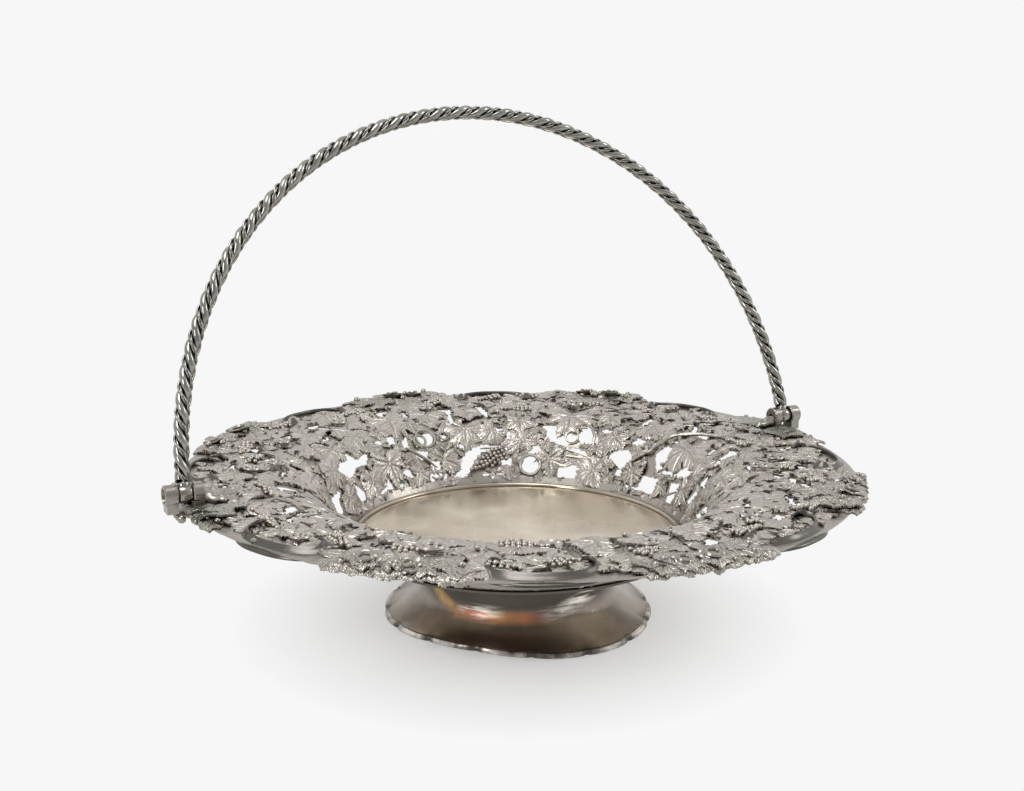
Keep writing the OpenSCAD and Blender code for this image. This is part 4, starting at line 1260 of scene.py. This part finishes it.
def add_rose(bm, angle, run, size, luck):
    """A rose: a low dome, uneven petals round it and a raised ring."""
    rose = bmesh.new()
    dome = bmesh.ops.create_uvsphere(rose, u_segments=14, v_segments=8, radius=0.75 * size)["verts"]
    bmesh.ops.scale(rose, vec=(1, 1, 0.4), verts=dome)
    for i in range(PETALS):
        petal = bmesh.ops.create_uvsphere(rose, u_segments=10, v_segments=6, radius=0.44 * size)["verts"]
        bmesh.ops.scale(rose, vec=(luck.uniform(0.8, 1.3), luck.uniform(0.7, 1.2), 0.3), verts=petal)
        cock = Matrix.Rotation(math.radians(luck.uniform(-5, 35)), 3, "X")
        bmesh.ops.rotate(rose, verts=petal, matrix=cock)
        bmesh.ops.translate(rose, verts=petal, vec=(0, luck.uniform(0.5, 0.8) * size, 0.05 * size))
        bmesh.ops.rotate(rose, verts=petal, matrix=Matrix.Rotation(math.radians(PETAL_STEP * i), 3, "Z"))
    ring = circle_points(ROSE_RING_STEPS, 0.46 * size)
    points = [Vector((x, 0.85 * y, 0.3 * size)) for x, y in ring]
    ups = [Vector((0, 0, 1))] * ROSE_RING_STEPS
    add_bmesh(rose, wire(points, ups, [0.14 * size] * ROSE_RING_STEPS, closed=True))
    lay_on_border(add_bmesh(bm, rose), angle, run, ROSE_LIFT, ROSE_TILT)


HANG_STEP = 5
HANG_KINDS = (1, 3, 3)
HANG_SIZE = (5.6, 7.6)
HANG_BACK = (0.5, 2.0)
HANG_TURN = 35
HANG_RISE = 0.8


def hang_leaves(bm, angle, luck, lift):
    """Small leaves that hang over the rim's edge."""
    for side in range(-CLUSTER_HALF, CLUSTER_HALF + 1, HANG_STEP):
        kind = luck.choice(HANG_KINDS)
        size = luck.uniform(*HANG_SIZE)
        run = EDGE_RUN - luck.uniform(*HANG_BACK)
        turn = luck.uniform(-HANG_TURN, HANG_TURN)
        rise = luck.uniform(0, HANG_RISE)
        add_leaf(bm, kind, size, angle_aside(angle, side), run, turn, lift + rise)


def grow_cluster(bm, k):
    """Leaves fan out along the rim from the roses, with berries between them."""
    luck = random.Random(40 + k)
    angle = k * BAY
    for kind, size, side, up, turn in CLUSTER_LEAVES:
        add_leaf(bm, kind, size * luck.uniform(0.9, 1.1), angle_aside(angle, side), CLUSTER_RUN + up,
                 -turn + luck.uniform(-12, 12), luck.uniform(*CLUSTER_LIFT), luck.uniform(-10, 10))
    hang_leaves(bm, angle, luck, CLUSTER_HANG)
    for side, size in zip(ROSES[k], ROSE_SIZES):
        add_rose(bm, angle_aside(angle, side), ROSE_RUN, size, luck)
    for _ in range(CLUSTER_BERRIES):
        radius = luck.uniform(1.2, 1.9)
        run = CLUSTER_RUN + luck.uniform(-3, 6.5)
        side = luck.uniform(-CLUSTER_HALF, CLUSTER_HALF)
        add_berry(bm, radius, angle, run, side, luck.uniform(1.4, 3.0))


def build_clusters():
    """The clusters over the six seams that have no hinge."""
    for k in ROSES:
        bm = bmesh.new()
        grow_cluster(bm, k)
        make_piece(f"rim_cluster_{k + 1}", bm, cluster_silver)


build_clusters()


# The dish's well, its wire and the foot, spun round the upright axis

WELL_EDGE = RING_R - RING_D / 2 - 1
WELL_R = (WELL_EDGE ** 2 + WELL_DEPTH ** 2) / (2 * WELL_DEPTH)
WELL_C = FLANGE_Z - WELL_DEPTH + WELL_R


def build_well():
    """The solid dished bottom with its flat flange."""
    steps = 24
    top = []
    for i in range(steps + 1):
        r = WELL_EDGE * i / steps
        top.append((r, WELL_C - math.sqrt(WELL_R ** 2 - r ** 2)))
    outer = RING_R + RING_D / 2 + FLANGE_W
    rim = [(WELL_EDGE + 1.0, FLANGE_Z - 0.04), (outer, FLANGE_Z), (outer, FLANGE_Z - WELL_T)]
    under = [(r, z - WELL_T) for r, z in reversed(top)]
    make_piece("dish_well", spun(top + rim + under, ROUND_STEPS), well_silver, sharp=60)


def build_ring():
    """The half-round wire where the well meets the border."""
    half = RING_D / 2
    base = FLANGE_Z + SOLDER
    arc = [(RING_R - half * math.cos(math.pi * i / 10), base + half * math.sin(math.pi * i / 10))
           for i in range(11)]
    profile = arc + [(RING_R - half, base)]
    make_piece("well_ring", spun(profile, WIRE_STEPS), wire_silver, sharp=60)


def lobe_reach(angle):
    """How far the foot's edge stands in from its widest at an angle."""
    step = 360 / FOOT_LOBES
    share = abs((angle / step) % 1.0 - 0.5) * 2
    return -NOTCH * (0.35 * share ** 2 + 0.65 * share ** 8)


def lobed(bm, low_r):
    """Draws the outer part of a spun foot piece in between its lobes."""
    for vert in bm.verts:
        r = math.hypot(vert.co.x, vert.co.y)
        share = smoothstep(low_r, FOOT_R, r)
        move = lobe_reach(math.degrees(math.atan2(vert.co.y, vert.co.x))) * share
        if r > 0:
            vert.co.x *= (r + move) / r
            vert.co.y *= (r + move) / r
    return bm


SKIRT_LOW_R = FOOT_R - NOTCH - 0.6
SKIRT_Z = EDGE_H + SOLDER
SKIRT_STEPS = 16
SKIRT_FLARE = 1.55
SKIRT_LOBES_R = 56.0
EDGE_LOBES_R = 58.0

# The old plate is bent: lifted at its front left and spread at its front right, in millimetres, at a
# turn and over a span in degrees
BENT_LIFT = 3.4
LIFT_TURN = 217.0
LIFT_SPAN = 34
BENT_SPREAD = 2.6
SPREAD_TURN = 281.0
SPREAD_SPAN = 28


def bent(bm):
    """Lifts the foot's front left and spreads its front right."""
    for vert in bm.verts:
        r = math.hypot(vert.co.x, vert.co.y)
        turn = math.degrees(math.atan2(vert.co.y, vert.co.x)) % 360
        share = smoothstep(NECK_R + 3, FOOT_R, r)
        vert.co.z += BENT_LIFT * share * math.exp(-((turn - LIFT_TURN) / LIFT_SPAN) ** 2)
        wider = BENT_SPREAD * share * math.exp(-((turn - SPREAD_TURN) / SPREAD_SPAN) ** 2)
        spread = 1 + wider / max(r, 1.0)
        vert.co.x *= spread
        vert.co.y *= spread
    return bm


def build_neck():
    """The upright band between the skirt and the well."""
    well_under = WELL_C - math.sqrt((WELL_R + WELL_T) ** 2 - NECK_R ** 2) - SOLDER
    neck = [(NECK_R + 3.2, 10.3), (NECK_R + 2.2, 11.4), (NECK_R + 1.2, 13.0), (NECK_R + 0.4, 15.0),
            (NECK_R - 0.3, 18.0), (NECK_R - 0.7, 22.0), (NECK_R - 0.7, 27.0), (NECK_R - 0.2, 31.0),
            (NECK_R, well_under)]
    neck += [(r - FOOT_T, z) for r, z in reversed(neck)]
    make_piece("foot_neck", spun(neck + neck[:1], ROUND_STEPS), foot_silver, sharp=60)


def build_skirt():
    """The flared sheet between the crease and the edge."""
    curve = []
    for i in range(SKIRT_STEPS + 1):
        share = i / SKIRT_STEPS
        curve.append((NECK_R + (SKIRT_LOW_R - NECK_R) * share,
                      SKIRT_Z + (NECK_Z - SKIRT_Z) * (1 - share) ** SKIRT_FLARE))
    inner = [(r - FOOT_T * 0.7, max(SKIRT_Z, z - FOOT_T)) for r, z in reversed(curve)]
    skirt = bent(lobed(spun(curve + inner + curve[:1], FOOT_STEPS), SKIRT_LOBES_R))
    make_piece("foot_skirt", skirt, foot_silver, sharp=60)


def build_edge():
    """The lobed flat wire that the basket stands on."""
    low = FOOT_R - EDGE_W
    profile = [(low, 0), (FOOT_R - 0.5, 0), (FOOT_R, 0.4), (FOOT_R, 1.6), (FOOT_R - 0.6, EDGE_H),
               (low + 1.0, EDGE_H), (low, EDGE_H - 0.6), (low, 0)]
    edge = bent(lobed(spun(profile, FOOT_STEPS), EDGE_LOBES_R))
    make_piece("foot_edge", edge, foot_lip_silver, sharp=50)


build_well()
build_ring()
build_neck()
build_skirt()
build_edge()


# The hinges: two ears on a leafy plate, the handle's barrel between them and a pin through all

BARREL_IN = HINGE_X - BARREL_W / 2
BARREL_OUT = HINGE_X + BARREL_W / 2
EAR_IN_X = BARREL_IN - SIDE_RUN - EAR_IN
EAR_OUT_X = BARREL_OUT + SIDE_RUN
EAR_SUNK = 1.3
PLATE_Z = 73.9
PIN_FIT = 0.02
BARREL_FIT = 0.06

# The casting behind the inner ear, as places along the axis and off it, and a radius
SADDLE_STOPS = [
    (1.5, -2.2, 3.2), (-1.5, -2.8, 3.1), (-4.5, -3.8, 2.8), (-7.5, -4.8, 2.2), (-9.5, -5.4, 1.4),
]

# Leaves of a hinge's plate, as kind, size, places to the right and up, and turn
HINGE_LEAVES = [
    (1, 12, 11, -4, 100), (0, 12, -11, -4, -100), (0, 13, 0, -19, 178), (2, 10, 20, -3, 80),
    (2, 10, -20, -3, -80), (0, 9, 9, -14, 140), (0, 9, -9, -14, -140), (0, 8, 12, 2, 60),
    (0, 8, -12, 2, -60), (1, 9, 0, 3, 0),
]
HINGE_LEAF_LIFT = 1.1
HINGE_HANG = 0.7

# Leaves that stand higher, one to either side, as places aside and up, size, turn and lift
HINGE_PAIRS = [(9, -3, 10, 60, 3.4), (16, -1, 9, 80, 2.8), (7, -10, 9, 120, 2.8)]
HINGE_PAIR_TILT = 14
HINGE_BERRIES = 14

# Beads under the outer ear
BEAD_SIDES = (-3.4, 0.0, 3.4)
BEAD_R = 2.0
BEAD_RUN = EDGE_RUN + 4.0
BEAD_LIFT = 0.6
HINGE_LUCK = {"right": 3, "left": 5}


def turn_round(bm, turn):
    """Turns a whole shape about the upright axis."""
    bmesh.ops.rotate(bm, verts=bm.verts, matrix=Matrix.Rotation(math.radians(turn), 3, "Z"))


def along_x(bm, verts, x):
    """Turns a shape spun round Z to lie along X on the hinge axis, with its foot at x."""
    bmesh.ops.rotate(bm, verts=verts, matrix=Matrix.Rotation(math.radians(90), 3, "Y"))
    bmesh.ops.translate(bm, verts=verts, vec=(x, 0, HINGE_Z))


def add_tube(bm, x, length, outer, bore, soft=0.5, sunk=0.0):
    """A turned tube along the hinge axis with eased edges, and a sunk end if one is asked for."""
    end = [(outer - soft, length), (bore, length)]
    if sunk:
        end = [(outer - soft, length), (outer - 1.3, length), (outer - 1.6, length - sunk),
               (bore, length - sunk)]
    profile = [(bore, 0), (outer - soft, 0), (outer, soft), (outer, length - soft)] + end + [(bore, 0)]
    verts = add_bmesh(bm, spun(profile, TUBE_STEPS))
    along_x(bm, verts, x)


def add_block(bm, x, length, width, low, high):
    """A block under an ear, from x outwards and between two heights."""
    made = bmesh.ops.create_cube(bm, size=1.0)["verts"]
    bmesh.ops.scale(bm, vec=(length, width, high - low), verts=made)
    bmesh.ops.translate(bm, vec=(x + length / 2, 0, (low + high) / 2), verts=made)


def add_saddle(bm):
    """The knobbly casting that runs from the inner ear down to the brim."""
    points = [Vector((EAR_IN_X + x, 0, HINGE_Z + z)) for x, z, _ in SADDLE_STOPS]
    ups = [Vector((0, 0, 1))] * len(SADDLE_STOPS)
    saddle = wire(points, ups, [radius for _, _, radius in SADDLE_STOPS], 20)
    bmesh.ops.subdivide_edges(saddle, edges=saddle.edges[:], cuts=1, use_grid_fill=True)
    for vert in saddle.verts:
        knob = noise.noise(vert.co * 0.45) * smoothstep(EAR_IN_X + 1, EAR_IN_X - 3, vert.co.x)
        vert.co += Vector((0, vert.co.y, vert.co.z - HINGE_Z + 3)).normalized() * 1.3 * knob
    add_bmesh(bm, saddle)


def build_bracket(side, turn):
    """A leafy plate with two ears for the handle's barrel."""
    bm = bmesh.new()
    bore = PIN_D / 2 + PIN_FIT
    block_top = HINGE_Z - EAR_D * 0.3
    add_tube(bm, EAR_OUT_X, EAR_OUT, EAR_D / 2, bore, sunk=EAR_SUNK)
    add_tube(bm, EAR_IN_X, EAR_IN, EAR_D / 2, bore)
    add_block(bm, EAR_OUT_X + 0.4, EAR_OUT - 1.0, EAR_D * 0.74, PLATE_Z - 2.0, block_top)
    add_block(bm, EAR_IN_X + 0.2, EAR_IN - 0.4, EAR_D * 0.8, PLATE_Z - 1.2, block_top)
    add_saddle(bm)
    luck = random.Random(HINGE_LUCK[side])
    for kind, size, across, up, leaf_turn in HINGE_LEAVES:
        add_leaf(bm, kind, size, angle_aside(0, across), CLUSTER_RUN + up, -leaf_turn, HINGE_LEAF_LIFT)
    for across, up, size, leaf_turn, lift in HINGE_PAIRS:
        for sign in (-1, 1):
            tilt = luck.uniform(-HINGE_PAIR_TILT, HINGE_PAIR_TILT)
            add_leaf(bm, 1, size, angle_aside(0, sign * across), CLUSTER_RUN + up,
                     -sign * leaf_turn, lift, tilt)
    hang_leaves(bm, 0, luck, HINGE_HANG)
    for i in range(HINGE_BERRIES):
        across = (1 if i % 2 else -1) * luck.uniform(7.5, CLUSTER_HALF)
        radius = luck.uniform(1.0, 1.5)
        run = CLUSTER_RUN + luck.uniform(-2, 8)
        add_berry(bm, radius, 0, run, across, luck.uniform(0.8, 1.6))
    for across in BEAD_SIDES:
        add_berry(bm, BEAD_R, 0, BEAD_RUN, across, BEAD_LIFT)
    turn_round(bm, turn)
    make_piece(f"hinge_bracket_{side}", bm, hinge_silver)


def build_pin(side, turn):
    """The rivet through the ears and the barrel."""
    bm = bmesh.new()
    ends = EAR_IN + BARREL_W + EAR_OUT + 2 * SIDE_RUN
    add_tube(bm, EAR_IN_X + 0.4, ends - 1.6, PIN_D / 2, 0.0, 0.25)
    turn_round(bm, turn)
    make_piece(f"hinge_pin_{side}", bm, pin_silver)


SIDES = (("right", 0), ("left", 180))
for side, turn in SIDES:
    build_bracket(side, turn)
    build_pin(side, turn)


# The handle: barrels at its ends, and a rope of two strands with a thin twisted cord in each groove

LEAN = Matrix.Translation((0, 0, HINGE_Z)) @ Matrix.Rotation(math.radians(-HANDLE_LEAN), 4, "X")
ROPE_STEPS = 560


def rope_at(turn):
    """A point of the rope's middle line."""
    return Vector((HINGE_X * math.cos(turn), 0, HANDLE_RISE * math.sin(turn)))


def rope_out(turn):
    """The direction out of the arch at a point of the rope."""
    return Vector((HANDLE_RISE * math.cos(turn), 0, HINGE_X * math.sin(turn))).normalized()


def rope_line(steps):
    """The rope's middle line as points, outward directions and running lengths."""
    start = math.asin((ROPE_START + 0.4) / HANDLE_RISE)
    turns = [start + (math.pi - 2 * start) * i / steps for i in range(steps + 1)]
    points = [rope_at(turn) for turn in turns]
    runs = [0.0]
    for before, after in zip(points, points[1:]):
        runs.append(runs[-1] + (after - before).length)
    return points, [rope_out(turn) for turn in turns], runs


def wound(points, outs, runs, reach, phase, lay):
    """A line wound round another, with its directions away from that line."""
    aside = Vector((0, 1, 0))
    lines, ways = [], []
    for point, out, run in zip(points, outs, runs):
        turn = phase - 2 * math.pi * run / lay
        way = out * math.cos(turn) + aside * math.sin(turn)
        lines.append(point + way * reach)
        ways.append(way)
    return lines, ways


# Strands are a little fuller than their wire, and cords are two wires
STRAND_FILL = 0.08
CORD_OFF = 2.35
CORD_WIRE = 0.52
CORD_LAY = 7.5


def twisted_cord(cord, ways, runs):
    """Two thin wires twisted together along a cord's line."""
    bm = bmesh.new()
    last = len(cord) - 1
    for half in (0, math.pi):
        line, up = [], []
        for i, (point, way) in enumerate(zip(cord, ways)):
            along = (cord[min(i + 1, last)] - cord[max(i - 1, 0)]).normalized()
            across = along.cross(way).normalized()
            turn = half + 2 * math.pi * runs[i] / CORD_LAY
            reach = way * math.cos(turn) + across * math.sin(turn)
            line.append(point + reach * CORD_WIRE)
            up.append(reach)
        add_bmesh(bm, wire(line, up, [CORD_WIRE] * len(line), 7))
    return bm


def build_rope():
    """The two strands, and a cord in each groove between them."""
    points, outs, runs = rope_line(ROPE_STEPS)
    for s in range(2):
        line, ways = wound(points, outs, runs, STRAND_OFF, math.pi * s, ROPE_LAY)
        bm = wire(line, ways, [STRAND_D / 2 + STRAND_FILL] * len(line), 14)
        bmesh.ops.transform(bm, matrix=LEAN, verts=bm.verts)
        make_piece(f"handle_strand_{s + 1}", bm, rope_silver, "handle", 60)
        cord, ways = wound(points, outs, runs, CORD_OFF, math.pi * (s + 0.5), ROPE_LAY)
        bm = twisted_cord(cord, ways, runs)
        bmesh.ops.transform(bm, matrix=LEAN, verts=bm.verts)
        make_piece(f"handle_cord_{s + 1}", bm, rope_silver, "handle", 70)


def build_knuckles():
    """The barrels that turn on the pins, each with a stub for the rope's end."""
    stub = [(0.0, ROPE_START), (2.2, ROPE_START), (2.7, ROPE_START - 0.5), (2.6, 3.0), (2.6, 2.2),
            (0.0, 2.2)]
    for side, turn in SIDES:
        bm = bmesh.new()
        add_tube(bm, BARREL_IN, BARREL_W, BARREL_D / 2, PIN_D / 2 + BARREL_FIT, 0.4)
        bmesh.ops.translate(bm, verts=bm.verts, vec=(0, 0, -HINGE_Z))
        verts = add_bmesh(bm, spun(stub, STUB_STEPS))
        bmesh.ops.translate(bm, verts=verts, vec=(HINGE_X, 0, 0))
        turn_round(bm, turn)
        bmesh.ops.transform(bm, matrix=LEAN, verts=bm.verts)
        make_piece(f"handle_knuckle_{side}", bm, knuckle_silver, "handle", 50)


build_rope()
build_knuckles()


# Floor, light and camera

WHITE = rgb(0.93, 0.93, 0.93)
FLOOR_GREY = rgb(0.84, 0.84, 0.83)
FLOOR_HALF = 6.0

# The floor shows as white from afar, and keeps more of its shadow near the foot, in metres
SHADOW_NEAR = 0.055
SHADOW_FAR = 0.14
WHITE_LEAST = 0.42


def build_floor():
    """A plain pale floor."""
    bm = bmesh.new()
    bmesh.ops.create_grid(bm, x_segments=4, y_segments=4, size=FLOOR_HALF)
    mesh = as_mesh("floor", bm)
    finish = Finish(bpy.data.materials.new("floor_white"))
    away = finish.vector("LENGTH", finish.place(), output="Value")
    rays = [finish.node("ShaderNodeLightPath", output=f"Is {kind} Ray")
            for kind in ("Camera", "Glossy", "Transmission")]
    seen = (rays[0] + rays[1] + rays[2]).clamped()
    white = (WHITE_LEAST + (1 - WHITE_LEAST) * finish.ramp(away, SHADOW_NEAR, SHADOW_FAR)) * seen
    shaded = finish.node("ShaderNodeBsdfDiffuse", None, {"Color": FLOOR_GREY})
    glow = finish.node("ShaderNodeEmission", None, {"Color": WHITE, "Strength": 1.0})
    mixed = finish.node("ShaderNodeMixShader", None, {0: white, 1: shaded, 2: glow})
    mesh.materials.append(finish.output(mixed))
    floor = put_in_scene("floor", mesh)


# The room is white before the camera and dimmer behind it, as a studio is
FRONT = (-0.46, -0.86, 0.22)
FRONT_DIM = 0.45
DIM_FROM = 0.1
DIM_FULL = 0.85

# Soft lamps, as name, place, target and size in metres, and watts
SOFTBOXES = [
    ("softbox_top", (-0.3, -0.1, 1.2), (0, 0, 0.05), (0.6, 0.6), 5.0),
    ("softbox_left", (-1.2, -0.5, 0.7), (0, 0, 0.06), (0.35, 0.6), 4.0),
    ("softbox_right", (1.1, -0.4, 0.8), (0, 0, 0.06), (0.3, 0.5), 2.5),
]


def build_world():
    """The light of the whole room."""
    world = bpy.data.worlds.new("studio")
    bpy.context.scene.world = world
    finish = Finish(world)
    way = finish.node("ShaderNodeTexCoord", output="Generated")
    toward = finish.vector("DOT_PRODUCT", way, FRONT, output="Value")
    room = 1.0 - FRONT_DIM * finish.ramp(toward, DIM_FROM, DIM_FULL)
    background = finish.node("ShaderNodeBackground", None, {"Color": WHITE, "Strength": room})
    finish.output(background, "ShaderNodeOutputWorld")


def add_softbox(name, place, target, size, power):
    """A soft lamp that faces its target."""
    light = bpy.data.lights.new(name, "AREA")
    light.shape = "RECTANGLE"
    light.size, light.size_y = size
    light.energy = power
    lamp = put_in_scene(name, light)
    lamp.location = place
    lamp.rotation_euler = (Vector(target) - Vector(place)).to_track_quat("-Z", "Y").to_euler()


def build_camera():
    """The camera at the photo's angle."""
    camera = bpy.data.cameras.new("camera")
    camera.sensor_width = SENSOR_W
    camera.lens = FOCAL_PX * SENSOR_W / IMAGE_W
    camera.clip_start = CLIP_START
    eye = put_in_scene("camera", camera)
    turn = LOOK.to_track_quat("-Z", "Y").to_matrix().to_4x4()
    eye.matrix_world = Matrix.Translation(EYE * MM) @ turn @ Matrix.Rotation(math.radians(ROLL), 4, "Z")
    bpy.context.scene.camera = eye


build_floor()
build_world()
for softbox in SOFTBOXES:
    add_softbox(*softbox)
build_camera()
bpy.context.scene.view_settings.view_transform = "Standard"
